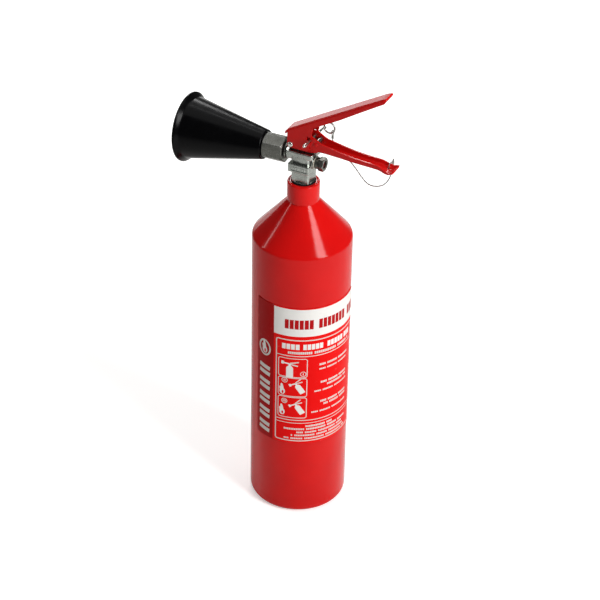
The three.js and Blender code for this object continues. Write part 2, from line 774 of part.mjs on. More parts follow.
/** The lanyard's free run, from the pin's ferrule down and up to the handle's. */
const LANYARD_ROUTE = [
  [20.4, 25.5, 449.4], [20.6, 25.5, 447.6], [21.8, 25.35, 445.2], [24.2, 25, 442.6],
  [27.6, 24.4, 440], [32, 23.7, 437.2], [36.5, 22.95, 434.5], [41.2, 22.2, 431.5],
  [45.9, 21.4, 428.1], [50.3, 20.65, 424.3], [54.6, 19.95, 420.2], [58.5, 19.3, 416.4],
  [62.4, 18.6, 413.4], [66.5, 17.95, 411.7], [71, 17.2, 411.5], [75.8, 16.4, 412.6],
  [80.2, 15.7, 414.5], [84.2, 15, 417.2], [87.6, 14.5, 420.9], [90.3, 14.1, 425.2],
  [92.3, 13.8, 430], [93.8, 13.5, 435.2], [94.9, 13.35, 440.6], [95.4, 13.3, 445.8],
];

part("lanyard_pin_eye", pinEye(), STEEL);
part("lanyard_pin_ferrule", pinFerrule(), STEEL);
part("lanyard", wire(LANYARD_ROUTE, LANYARD_R, 44), STEEL);
part("lanyard_handle_eye", handleEye(), STEEL);
part("lanyard_handle_ferrule", handleFerrule(), STEEL);

export default extinguisher;
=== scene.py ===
"""A portable carbon dioxide fire extinguisher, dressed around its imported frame.

The cylinder stands on z = 0 with its axis on Z, the grips point along +X and the horn along -X.
Sizes are in millimetres and are turned to metres where a mesh is made.
"""
import logging
import math
from dataclasses import dataclass
from enum import Enum
from typing import Callable, Sequence

import bmesh
import bpy
from mathutils import Matrix, Vector


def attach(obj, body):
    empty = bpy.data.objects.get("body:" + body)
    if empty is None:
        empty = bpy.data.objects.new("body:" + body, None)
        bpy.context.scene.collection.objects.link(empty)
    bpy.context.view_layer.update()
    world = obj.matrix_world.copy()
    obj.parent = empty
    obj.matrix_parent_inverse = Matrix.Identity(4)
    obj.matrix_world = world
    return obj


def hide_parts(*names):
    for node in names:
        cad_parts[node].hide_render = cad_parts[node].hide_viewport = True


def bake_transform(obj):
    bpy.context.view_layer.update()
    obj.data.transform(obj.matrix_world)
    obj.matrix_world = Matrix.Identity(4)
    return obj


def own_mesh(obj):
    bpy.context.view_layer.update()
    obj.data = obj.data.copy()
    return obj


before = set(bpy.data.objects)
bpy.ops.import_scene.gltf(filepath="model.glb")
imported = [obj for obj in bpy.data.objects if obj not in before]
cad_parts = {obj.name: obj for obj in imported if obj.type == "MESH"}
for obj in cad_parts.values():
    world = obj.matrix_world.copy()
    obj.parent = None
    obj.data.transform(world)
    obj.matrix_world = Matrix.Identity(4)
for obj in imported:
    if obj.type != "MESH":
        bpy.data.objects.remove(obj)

LOG = logging.getLogger("extinguisher")
MM = 0.001
SEAM = 2e-6  # vertices nearer than this, in metres, are merged
SLIVER = 1e-7  # edges shorter than this, in metres, are dropped
Point = tuple[float, float, float]
Flat = tuple[float, float]
Profile = tuple[Point, ...]
Test = Callable[[Vector], bool]


# ---------------------------------------------------------------- the workbench
class Part(Enum):
    """What an edit-mode selection picks."""

    VERT = "VERT"
    EDGE = "EDGE"
    FACE = "FACE"


@dataclass(frozen=True)
class Axis:
    """A straight axis that round shapes are turned about, in millimetres."""

    origin: Point
    along: Point
    radial: Point

    def at(self, radius: float, distance: float) -> Vector:
        """A point at a radius and a distance along the axis.

        Args:
            radius: distance from the axis in mm.
            distance: distance along the axis from its origin in mm.

        Returns:
            The point in metres.
        """
        place = Vector(self.origin) + Vector(self.along) * distance
        return (place + Vector(self.radial) * radius) * MM


def upright() -> Axis:
    """The cylinder's own axis."""
    return Axis((0, 0, 0), (0, 0, 1), (1, 0, 0))


def across(x: float, z: float) -> Axis:
    """An axis along Y through (x, z)."""
    return Axis((x, 0, z), (0, 1, 0), (1, 0, 0))


def sideways(z: float) -> Axis:
    """An axis along X at a height."""
    return Axis((0, 0, z), (1, 0, 0), (0, 0, 1))


def deselect() -> None:
    """Leaves object mode with nothing selected."""
    active = bpy.context.object
    if active is not None and active.mode != "OBJECT":
        bpy.ops.object.mode_set(mode="OBJECT")
    bpy.ops.object.select_all(action="DESELECT")


def activate(piece: bpy.types.Object) -> None:
    """Selects one piece alone and makes it active."""
    deselect()
    piece.select_set(True)
    bpy.context.view_layer.objects.active = piece


def start(name: str, primitive: Callable[..., set], **settings: object) -> bpy.types.Object:
    """Adds a primitive, names it and opens it for editing.

    Args:
        name: the piece's name.
        primitive: the operator that adds it.
        settings: the operator's settings.

    Returns:
        The new object, in edit mode.
    """
    deselect()
    primitive(**settings)
    piece = bpy.context.object
    piece.name = name
    piece.data.name = name
    bpy.ops.object.mode_set(mode="EDIT")
    return piece


def pick(part: Part, test: Test) -> None:
    """Selects the parts of the edited mesh whose middle, in metres, passes a test.

    Args:
        part: vertices, edges or faces.
        test: takes the middle in the world and says whether to select it.
    """
    piece = bpy.context.object
    bpy.ops.mesh.select_mode(type=part.value)
    bpy.ops.mesh.select_all(action="DESELECT")
    mesh = bmesh.from_edit_mesh(piece.data)
    for element in {Part.VERT: mesh.verts, Part.EDGE: mesh.edges, Part.FACE: mesh.faces}[part]:
        corners = [element] if part is Part.VERT else list(element.verts)
        middle = sum((v.co for v in corners), Vector()) / len(corners)
        if test(piece.matrix_world @ middle):
            element.select_set(True)
    mesh.select_flush_mode()
    bmesh.update_edit_mesh(piece.data)


def close(piece: bpy.types.Object, smooth: float = 35.0, heal: bool = True) -> bpy.types.Object:
    """Ends the editing: doubles merged, faces outward, place applied, smoothed by angle.

    Args:
        piece: the edited object.
        smooth: edges that turn less than this many degrees are shaded smooth.
        heal: whether to merge doubles and turn the faces outward.

    Returns:
        The same object, at the origin.
    """
    activate(piece)
    if heal:
        bpy.ops.object.mode_set(mode="EDIT")
        bpy.ops.mesh.select_all(action="SELECT")
        bpy.ops.mesh.remove_doubles(threshold=SEAM)
        bpy.ops.mesh.dissolve_degenerate(threshold=SLIVER)
        bpy.ops.mesh.select_all(action="SELECT")
        bpy.ops.mesh.normals_make_consistent(inside=False)
        bpy.ops.object.mode_set(mode="OBJECT")
    bpy.ops.object.transform_apply(location=True, rotation=True, scale=True)
    bpy.ops.object.shade_smooth_by_angle(angle=math.radians(smooth))
    return piece


def modify(piece: bpy.types.Object, kind: str, **settings: object) -> None:
    """Adds a modifier, sets it and applies it.

    Args:
        piece: the object.
        kind: the modifier's type.
        settings: its settings.
    """
    activate(piece)
    modifier = piece.modifiers.new(kind.title(), kind)
    for key, value in settings.items():
        setattr(modifier, key, value)
    bpy.ops.object.modifier_apply(modifier=modifier.name)


def soften(piece: bpy.types.Object, width: float, segments: int = 2, angle: float = 32) -> None:
    """Bevels the edges that turn more than an angle.

    Args:
        piece: the object.
        width: the bevel's width in mm.
        segments: how many faces make the round.
        angle: the least turn of an edge that is bevelled, in degrees.
    """
    modify(piece, "BEVEL", width=width * MM, segments=segments, limit_method="ANGLE",
           angle_limit=math.radians(angle), harden_normals=False)


def combine(piece: bpy.types.Object, other: bpy.types.Object, how: str) -> None:
    """Unites, cuts or intersects a piece with another, which is used up.

    Args:
        piece: the object that stays.
        other: the object that is used up.
        how: UNION, DIFFERENCE or INTERSECT.
    """
    modify(piece, "BOOLEAN", object=other, operation=how, solver="EXACT")
    bpy.data.objects.remove(other)


def rounded(corners: Sequence[Point], turn: float = 15.0) -> list[Flat]:
    """Rounds the corners of an open outline.

    Args:
        corners: each (u, v, fillet radius) in mm.
        turn: about how many degrees each step of a round turns.

    Returns:
        The outline's points.
    """
    outline: list[Flat] = []
    for i, (u, v, radius) in enumerate(corners):
        here = Vector((u, v))
        if radius <= 0 or i in (0, len(corners) - 1):
            outline.append((u, v))
            continue
        to_last = (Vector(corners[i - 1][:2]) - here).normalized()
        to_next = (Vector(corners[i + 1][:2]) - here).normalized()
        inside = to_last.angle(to_next)
        reach = radius / math.tan(inside / 2)
        centre = here + (to_last + to_next).normalized() * (radius / math.sin(inside / 2))
        first = here + to_last * reach - centre
        last = here + to_next * reach - centre
        steps = max(2, round(math.degrees(math.pi - inside) / turn))
        for k in range(steps + 1):
            spoke = first.slerp(last, k / steps)
            outline.append(tuple(centre + spoke.normalized() * radius))
    return outline


def rod(radius: float, low: float, high: float) -> list[Flat]:
    """The closed profile of a plain rod, as (radius, distance along the axis) in mm."""
    return [(0, low), (radius, low), (radius, high), (0, high), (0, low)]


def draw(name: str, points: Sequence[Vector]) -> bpy.types.Object:
    """Draws a chain of edges by pulling one vertex from point to point.

    Args:
        name: the piece's name.
        points: the chain's points in metres.

    Returns:
        The object, in edit mode, all of it selected.
    """
    piece = start(name, bpy.ops.mesh.primitive_plane_add, size=MM, location=points[0])
    bpy.ops.mesh.merge(type="CENTER")
    bpy.ops.mesh.select_mode(type="VERT")
    bpy.ops.mesh.select_all(action="SELECT")
    for last, here in zip(points, points[1:]):
        bpy.ops.mesh.extrude_vertices_move(TRANSFORM_OT_translate={"value": here - last})
    bpy.ops.mesh.select_all(action="SELECT")
    return piece


def turned(name: str, axis: Axis, profile: Sequence[Flat], steps: int = 72,
           smooth: float = 35.0) -> bpy.types.Object:
    """Turns a profile about an axis, as on a lathe.

    Args:
        name: the piece's name.
        axis: the axis it is turned about.
        profile: (radius, distance along the axis) in mm.
        steps: how many flats make a turn.
        smooth: the angle for smooth shading in degrees.

    Returns:
        The turned piece.
    """
    piece = draw(name, [axis.at(*point) for point in profile])
    bpy.ops.mesh.spin(steps=steps, angle=math.tau, center=Vector(axis.origin) * MM,
                      axis=axis.along)
    return close(piece, smooth)


def plate(name: str, outline: Sequence[Flat], low: float, high: float,
          standing: bool = False) -> bpy.types.Object:
    """A flat plate square to Y, or to Z if it is standing.

    Args:
        name: the piece's name.
        outline: its corners, (x, z) in mm, or (x, y) if it is standing.
        low: where it starts along its thickness in mm.
        high: where it ends along its thickness in mm.
        standing: whether its outline is seen from above.

    Returns:
        The plate.
    """
    corners = [Vector((u, v, low) if standing else (u, low, v)) * MM for u, v in outline]
    rise = (high - low) * MM
    piece = draw(name, corners)
    bpy.ops.mesh.edge_face_add()
    bpy.ops.mesh.extrude_region_move(
        TRANSFORM_OT_translate={"value": (0, 0, rise) if standing else (0, rise, 0)})
    return close(piece)


def block(name: str, low: Point, high: Point, corner: float, edge: float,
          segments: int = 5) -> bpy.types.Object:
    """A block with rounded upright corners and softened edges.

    Args:
        name: the piece's name.
        low: its lowest corner in mm.
        high: its highest corner in mm.
        corner: the radius of its upright corners in mm.
        edge: the softening of its other edges in mm.
        segments: how many faces make each corner's round.

    Returns:
        The block.
    """
    middle = (Vector(low) + Vector(high)) / 2 * MM
    size = (Vector(high) - Vector(low)) * MM
    piece = start(name, bpy.ops.mesh.primitive_cube_add, size=1, location=middle)
    bpy.ops.transform.resize(value=size)
    reach = size.z * 0.4
    pick(Part.EDGE, lambda c: abs(c.z - middle.z) < reach)
    bpy.ops.mesh.bevel(offset=corner * MM, segments=segments, affect="EDGES")
    close(piece)
    soften(piece, edge)
    return close(piece)


def sheet_metal(name: str, rows: Sequence[Sequence[Point]]) -> bpy.types.Object:
    """Folds a flat grid so that its vertices lie at the given places.

    Args:
        name: the piece's name.
        rows: for each station along the piece, the points across it, in mm.

    Returns:
        The folded sheet, in edit mode, without thickness.
    """
    across_count, along_count = len(rows[0]), len(rows)
    piece = start(name, bpy.ops.mesh.primitive_grid_add, x_subdivisions=across_count - 1,
                  y_subdivisions=along_count - 1, size=100 * MM)
    mesh = bmesh.from_edit_mesh(piece.data)
    for i, row in enumerate(rows):
        for j, target in enumerate(row):
            mesh.verts.ensure_lookup_table()
            mesh.verts[i * across_count + j].co = Vector(target) * MM
    bmesh.update_edit_mesh(piece.data)
    return piece


def dress(piece: bpy.types.Object, material: bpy.types.Material, body: str, slot: str,
          *nodes: str) -> bpy.types.Object:
    """Gives a piece its finish and its body, and hides the CAD nodes that it stands for.

    Args:
        piece: the object.
        material: its material.
        body: the body that it rides on.
        slot: the name of a material slot; not used.
        nodes: the CAD nodes that it replaces.

    Returns:
        The same object.
    """
    piece.data.materials.clear()
    piece.data.materials.append(material)
    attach(piece, body)
    if nodes:
        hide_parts(*nodes)
    LOG.info("%s: %d faces on %s", piece.name, len(piece.data.polygons), body)
    return piece


# ---------------------------------------------------------------- material nodes
Socket = bpy.types.NodeSocket
Tree = bpy.types.NodeTree
Inputs = dict[int | str, object] | Sequence[object]
# A Mix node mixes the colours on its inputs 6 and 7 by its input 0, and its output 2 is the result.
MIX = {"output": 2, "data_type": "RGBA"}


def linear(code: str) -> tuple[float, float, float, float]:
    """Turns an sRGB hex colour into linear RGBA."""
    levels = [int(code[i:i + 2], 16) / 255 for i in (1, 3, 5)]
    lit = [v / 12.92 if v <= 0.04045 else ((v + 0.055) / 1.055) ** 2.4 for v in levels]
    return (*lit, 1.0)


def scale_for(size: float) -> float:
    """The scale of a noise whose blotches are about a size in mm across."""
    return 1 / (size * MM)


def feed(tree: Tree, node: bpy.types.Node, inputs: Inputs) -> None:
    """Sets or links the inputs of a node.

    Args:
        tree: the node tree.
        node: the node.
        inputs: values or output sockets, in order, or by index or name.
    """
    for key, value in inputs.items() if isinstance(inputs, dict) else enumerate(inputs):
        if isinstance(value, Socket):
            tree.links.new(value, node.inputs[key])
        else:
            node.inputs[key].default_value = value


def add_node(tree: Tree, kind: str, inputs: Inputs = (), output: int | str = 0,
             **settings: object) -> Socket:
    """Adds a node with its settings and links.

    Args:
        tree: the node tree.
        kind: the node's type, less its first word.
        inputs: values or output sockets, in order, or by index or name.
        output: the wanted output's index or name.
        settings: the node's properties.

    Returns:
        The wanted output.
    """
    node = tree.nodes.new(f"ShaderNode{kind}")
    for key, value in settings.items():
        setattr(node, key, value)
    feed(tree, node, inputs)
    return node.outputs[output]


def patches(tree: Tree, place: Socket, size: float, detail: float, *levels: float,
            rough: float = 0.5) -> Socket:
    """Soft patches: noise whose values between two levels are spread over a range.

    Args:
        tree: the node tree.
        place: the coordinates.
        size: about how far across a patch is in mm.
        detail: the noise's octaves.
        levels: the two levels, and then the range's ends where they aren't 0 and 1.
        rough: the share of the finer octaves.

    Returns:
        The patches' value.
    """
    cloud = add_node(tree, "TexNoise", {
        "Vector": place, "Scale": scale_for(size), "Detail": detail, "Roughness": rough})
    return add_node(tree, "MapRange", (cloud, *levels))


@dataclass(frozen=True)
class Finish:
    """What every finish shares: a name, a base colour and a shader."""

    name: str
    colour: str
    roughness: float

    def begin(self) -> tuple[bpy.types.Material, Tree, bpy.types.Node, Socket]:
        """Makes the material.

        Returns:
            The material, its tree, its shader and the object coordinates.
        """
        material = bpy.data.materials.new(self.name)
        material.use_nodes = True
        tree = material.node_tree
        shader = tree.nodes["Principled BSDF"]
        feed(tree, shader, {"Base Color": linear(self.colour), "Roughness": self.roughness})
        material.diffuse_color = linear(self.colour)
        return material, tree, shader, add_node(tree, "TexCoord", output="Object")

    def wear(self, tree: Tree, place: Socket, size: float) -> Socket:
        """Where edges and high spots are rubbed: 1 on sharp edges, broken up by noise.

        Args:
            tree: the node tree.
            place: the coordinates.
            size: the size of the broken patches in mm.

        Returns:
            The mask.
        """
        edge = add_node(tree, "NewGeometry", output="Pointiness")
        sharp = add_node(tree, "MapRange", (edge, 0.52, 0.62))
        broken = patches(tree, place, size, 4, 0.5, 0.62)
        return add_node(tree, "Math", (sharp, broken), operation="MULTIPLY")


@dataclass(frozen=True)
class StovedEnamel(Finish):
    """Red stoved enamel, sprayed: a deep clear gloss with a faint orange peel.

    Sizes are in mm: of the orange peel and its depth, of the clouds in the colour, of the chips
    on edges and of the dust.
    """

    peel: float = 2.6
    peel_depth: float = 0.003
    clouds: float = 60.0
    cloud_colour: str = "#B80F10"
    chips: float = 1.6
    thin_colour: str = "#7A1614"
    dust: float = 9.0

    def make(self) -> bpy.types.Material:
        """Returns the enamel: thinner and duller on sharp edges, and a little dusty."""
        material, tree, shader, place = self.begin()
        cloud = patches(tree, place, self.clouds, 3, 0.35, 0.65, 0.0, 0.35)
        colour = add_node(tree, "Mix", {
            0: cloud, 6: linear(self.colour), 7: linear(self.cloud_colour)}, **MIX)
        rubbed = self.wear(tree, place, self.chips)
        rubbed = add_node(tree, "Math", (rubbed, 0.15), operation="MULTIPLY")
        colour = add_node(tree, "Mix", {0: rubbed, 6: colour, 7: linear(self.thin_colour)}, **MIX)
        dull = patches(tree, place, self.dust, 5, 0.45, 0.8, self.roughness,
                       self.roughness + 0.09, rough=0.6)
        peel = add_node(tree, "TexNoise", {
            "Vector": place, "Scale": scale_for(self.peel), "Detail": 1})
        relief = add_node(tree, "Bump", {"Height": peel, "Distance": self.peel_depth * MM})
        feed(tree, shader, {"Base Color": colour, "Roughness": dull, "Normal": relief,
                            "Specular IOR Level": 0.16, "Coat Weight": 0.04,
                            "Coat Roughness": 0.06})
        return material


@dataclass(frozen=True)
class CastPlate(Finish):
    """A forged or cast metal body under a plated skin: soft grey gloss over a fine grain.

    The real grain is about 0.1 mm, too fine to show, so it is drawn coarser. Sizes are in mm.
    """

    grain: float = 0.5
    dark: str = "#5C605B"
    rubbed: str = "#E4E6E2"
    grain_depth: float = 0.005
    stains: float = 7.0
    chips: float = 0.9
    smears: float = 2.5

    def make(self) -> bpy.types.Material:
        """Returns the plating: grain, darker patches and brighter rubbed edges."""
        material, tree, shader, place = self.begin()
        stain = patches(tree, place, self.stains, 4, 0.4, 0.75, 0.0, 0.4)
        colour = add_node(tree, "Mix", {
            0: stain, 6: linear(self.colour), 7: linear(self.dark)}, **MIX)
        colour = add_node(tree, "Mix", {
            0: self.wear(tree, place, self.chips), 6: colour, 7: linear(self.rubbed)}, **MIX)
        grain = add_node(tree, "TexNoise", {
            "Vector": place, "Scale": scale_for(self.grain), "Detail": 2})
        smear = patches(tree, place, self.smears, 4, 0.3, 0.7, self.roughness - 0.05,
                        self.roughness + 0.1)
        relief = add_node(tree, "Bump", {"Height": grain, "Distance": self.grain_depth * MM})
        feed(tree, shader, {"Base Color": colour, "Metallic": 1.0, "Roughness": smear,
                            "Normal": relief})
        return material


@dataclass(frozen=True)
class TurnedMetal(Finish):
    """Metal turned or drawn bright: fine rings round its axis catch the light.

    Real tool rings lie about 0.1 mm apart, too fine to show, so they are drawn further apart.
    Sizes are in mm.
    """

    pitch: float = 0.35
    tarnish: str = "#8A8C88"
    along: Point = (0.0, 0.0, 1.0)
    ring_depth: float = 0.004
    wander: float = 3.0
    stains: float = 4.0

    def make(self) -> bpy.types.Material:
        """Returns the metal: tool rings square to its axis, and a thin tarnish."""
        material, tree, shader, place = self.begin()
        run = add_node(tree, "VectorMath", (place, self.along), "Value", operation="DOT_PRODUCT")
        wander = add_node(tree, "TexNoise", {
            "Vector": place, "Scale": scale_for(self.wander), "Detail": 2})
        wander = add_node(tree, "Math", (wander, self.pitch * MM * 0.6), operation="MULTIPLY")
        run = add_node(tree, "Math", (run, wander), operation="ADD")
        phase = add_node(tree, "Math", (run, self.pitch * MM / math.tau), operation="DIVIDE")
        rings = add_node(tree, "Math", (phase,), operation="SINE")
        rings = add_node(tree, "MapRange", (rings, -1, 1))
        stain = patches(tree, place, self.stains, 5, 0.45, 0.8, 0.0, 0.5)
        colour = add_node(tree, "Mix", {
            0: stain, 6: linear(self.colour), 7: linear(self.tarnish)}, **MIX)
        gloss = add_node(tree, "MapRange", (rings, 0, 1, self.roughness, self.roughness + 0.06))
        relief = add_node(tree, "Bump", {"Height": rings, "Distance": self.ring_depth * MM})
        feed(tree, shader, {"Base Color": colour, "Metallic": 1.0, "Roughness": gloss,
                            "Normal": relief})
        return material


@dataclass(frozen=True)
class MouldedPolymer(Finish):
    """Injection-moulded plastic or rubber: a fine spark-eroded grain from the mould.

    The real grain is under 0.1 mm, too fine to show, so it is drawn coarser. Sizes are in mm.
    """

    grain: float = 0.7
    depth: float = 0.01
    scuff: str = "#3A3B3D"
    chips: float = 1.2
    haze: float = 24.0
    smears: float = 12.0

    def make(self) -> bpy.types.Material:
        """Returns the polymer: mould grain, scuffed edges and dull patches from handling."""
        material, tree, shader, place = self.begin()
        rubbed = self.wear(tree, place, self.chips)
        haze = patches(tree, place, self.haze, 4, 0.5, 0.8, 0.0, 0.25)
        rubbed = add_node(tree, "Math", (rubbed, 0.6), operation="MULTIPLY")
        share = add_node(tree, "Math", (rubbed, haze), operation="MAXIMUM")
        colour = add_node(tree, "Mix", {
            0: share, 6: linear(self.colour), 7: linear(self.scuff)}, **MIX)
        dull = patches(tree, place, self.smears, 4, 0.3, 0.7, self.roughness,
                       self.roughness + 0.12)
        grain = add_node(tree, "TexNoise", {
            "Vector": place, "Scale": scale_for(self.grain), "Detail": 2})
        relief = add_node(tree, "Bump", {"Height": grain, "Distance": self.depth * MM})
        feed(tree, shader, {"Base Color": colour, "Roughness": dull, "Normal": relief,
                            "Specular IOR Level": 0.1})
        return material


# Stoved enamel on the cylinder: an even deep red with narrow, clean highlights.
ENAMEL = StovedEnamel("red_stoved_enamel", "#D6100E", 0.12)
# Thinner enamel on the folded grips: a shade darker, with softer highlights.
GRIP_ENAMEL = StovedEnamel("red_grip_enamel", "#C6110F", 0.2, 2.4, 0.002)
# Nickel on the forged valve: a warm light grey that mirrors its surroundings softly.
NICKEL = CastPlate("nickel_plated_forging", "#A6AAA4", 0.24)
# Zinc on machined steel: darker, and duller than nickel, with brownish patches.
ZINC = CastPlate("zinc_plated_steel", "#7C7C76", 0.34, 0.4, "#3F403B")
# Bright drawn steel: the rivet and the pin flash white, with fine lines round them.
BRIGHT = TurnedMetal("bright_drawn_steel", "#DAD9D4", 0.16, 0.4, "#A5A39A", (0, 1, 0))
# Drawn steel wire: a soft grey sheen that breaks up along the strands.
WIRE = TurnedMetal("drawn_steel_wire", "#B9BAB6", 0.3, 0.5, "#86877F")
# Turned brass: yellow tool rings, browned by handling.
BRASS = TurnedMetal("turned_brass", "#B79353", 0.28, 0.4, "#8B6B34")
# Moulded polypropylene: the horn is nearly black, with a long soft highlight.
BLACK = MouldedPolymer("black_moulded_polypropylene", "#040405", 0.16, 0.8, 0.003, "#141415")
# Nitrile rubber: matt black, without a highlight.
RUBBER = MouldedPolymer("black_nitrile_rubber", "#141416", 0.6, 0.5, 0.02)
# Turned nylon: a waxy off-white.
NYLON = MouldedPolymer("turned_white_nylon", "#CFCBBC", 0.45, 0.6, 0.01, "#A7A397")
# Lacquer on thin foil: the burst disc's dark wine red, slightly wavy.
LACQUER = StovedEnamel("red_lacquered_foil", "#6E0F18", 0.3, 1.2, 0.01)


# ---------------------------------------------------------------- camera and light
@dataclass
class Studio:
    """The camera, a pale floor, soft lamps and a plain bright surround.

    Each lamp is its name, place, target and size in mm, and its power in watts.
    """

    azimuth: float = 26.0
    elevation: float = 34.373
    roll: float = 1.169
    distance: float = 2382.62
    aim: Point = (0.0, 0.0, 254.66)
    shift: float = -1.233
    lens: float = 131.38
    sensor: float = 36.0
    floor_metres: float = 24.0
    lift: float = 0.47
    lift_reach: Flat = (0.6, 2.4)
    surround_light: float = 0.1
    lamps: tuple[tuple[str, Point, Point, Flat, float], ...] = (
        ("key", (1700, -500, 1300), (0, 0, 250), (600, 1300), 38),
        ("strip", (-1590, -620, 1100), (0, 0, 300), (90, 900), 3),
        ("top", (100, 300, 2300), (0, 0, 0), (2200, 2200), 15),
        ("stripe", (-100, 850, 2500), (0, 0, 400), (1500, 110), 3),
        ("rim", (-850, 1750, 1750), (40, 0, 450), (700, 500), 14),
        ("back", (-1400, 1600, 400), (0, 0, 480), (1600, 700), 6),
    )

    def camera(self) -> None:
        """Places the camera."""
        a, e, r = (math.radians(v) for v in (self.azimuth, self.elevation, self.roll))
        back = Vector((math.sin(a) * math.cos(e), -math.cos(a) * math.cos(e), math.sin(e)))
        right = Vector((math.cos(a), math.sin(a), 0))
        up = Vector((-math.sin(a) * math.sin(e), math.cos(a) * math.sin(e), math.cos(e)))
        turned_right = right * math.cos(r) + up * math.sin(r)
        turned_up = up * math.cos(r) - right * math.sin(r)
        place = (right * self.shift + Vector(self.aim) + back * self.distance) * MM
        data = bpy.data.cameras.new("camera")
        data.lens = self.lens
        data.sensor_width = self.sensor
        data.clip_start, data.clip_end = 0.05, 50
        view = bpy.data.objects.new("camera", data)
        bpy.context.scene.collection.objects.link(view)
        turn = Matrix((turned_right, turned_up, back)).transposed()
        view.matrix_world = Matrix.Translation(place) @ turn.to_4x4()
        bpy.context.scene.camera = view

    def lamp(self, name: str, place: Point, target: Point, size: Flat, power: float) -> None:
        """Adds one rectangular soft box.

        Args:
            name: the lamp's name.
            place: where it hangs in mm.
            target: what it points at in mm.
            size: its width and height in mm.
            power: its power in watts.
        """
        data = bpy.data.lights.new(name, "AREA")
        data.shape = "RECTANGLE"
        data.size, data.size_y = size[0] * MM, size[1] * MM
        data.energy = power
        lamp = bpy.data.objects.new(name, data)
        bpy.context.scene.collection.objects.link(lamp)
        lamp.location = Vector(place) * MM
        lamp.rotation_mode = "QUATERNION"
        away = Vector(target) - Vector(place)
        lamp.rotation_quaternion = away.to_track_quat("-Z", "Y")

    def surround(self) -> None:
        """Fills the world: a bright backdrop to the eye, a softer grey to the surfaces."""
        world = bpy.data.worlds.new("surround")
        world.use_nodes = True
        bpy.context.scene.world = world
        tree = world.node_tree
        sight = add_node(tree, "LightPath", output="Is Camera Ray")
        strength = add_node(tree, "MapRange", (sight, 0, 1, self.surround_light, 1.0))
        feed(tree, tree.nodes["Background"], {"Color": (1, 1, 1, 1), "Strength": strength})

    def floor(self) -> None:
        """Lays the pale floor, lifted to the surround's white for the camera, more so far off."""
        floor = start("floor", bpy.ops.mesh.primitive_plane_add, size=self.floor_metres,
                      location=(0, 0, 0))
        bpy.ops.mesh.subdivide(number_cuts=3)
        close(floor, heal=False)
        material, tree, shader, place = Finish("matt_white_floor", "#F4F4F2", 0.7).begin()
        tone = add_node(tree, "TexNoise", {"Vector": place, "Scale": scale_for(180), "Detail": 3})
        tone = add_node(tree, "Mix", {0: tone, 6: linear("#F6F6F4"), 7: linear("#F1F1EF")}, **MIX)
        sight = add_node(tree, "LightPath", output="Is Camera Ray")
        reach = add_node(tree, "VectorMath", (place,), "Value", operation="LENGTH")
        lift = add_node(tree, "MapRange", (reach, *self.lift_reach, self.lift, 1.0))
        glow = add_node(tree, "Math", (sight, lift), operation="MULTIPLY")
        feed(tree, shader, {"Base Color": tone, "Specular IOR Level": 0.2,
                            "Emission Color": (1, 1, 1, 1), "Emission Strength": glow})
        floor.data.materials.append(material)

    def build(self) -> None:
        """Sets the whole studio up."""
        self.camera()
        self.surround()
        self.floor()
        for lamp in self.lamps:
            self.lamp(*lamp)
        bpy.context.scene.view_settings.view_transform = "Standard"


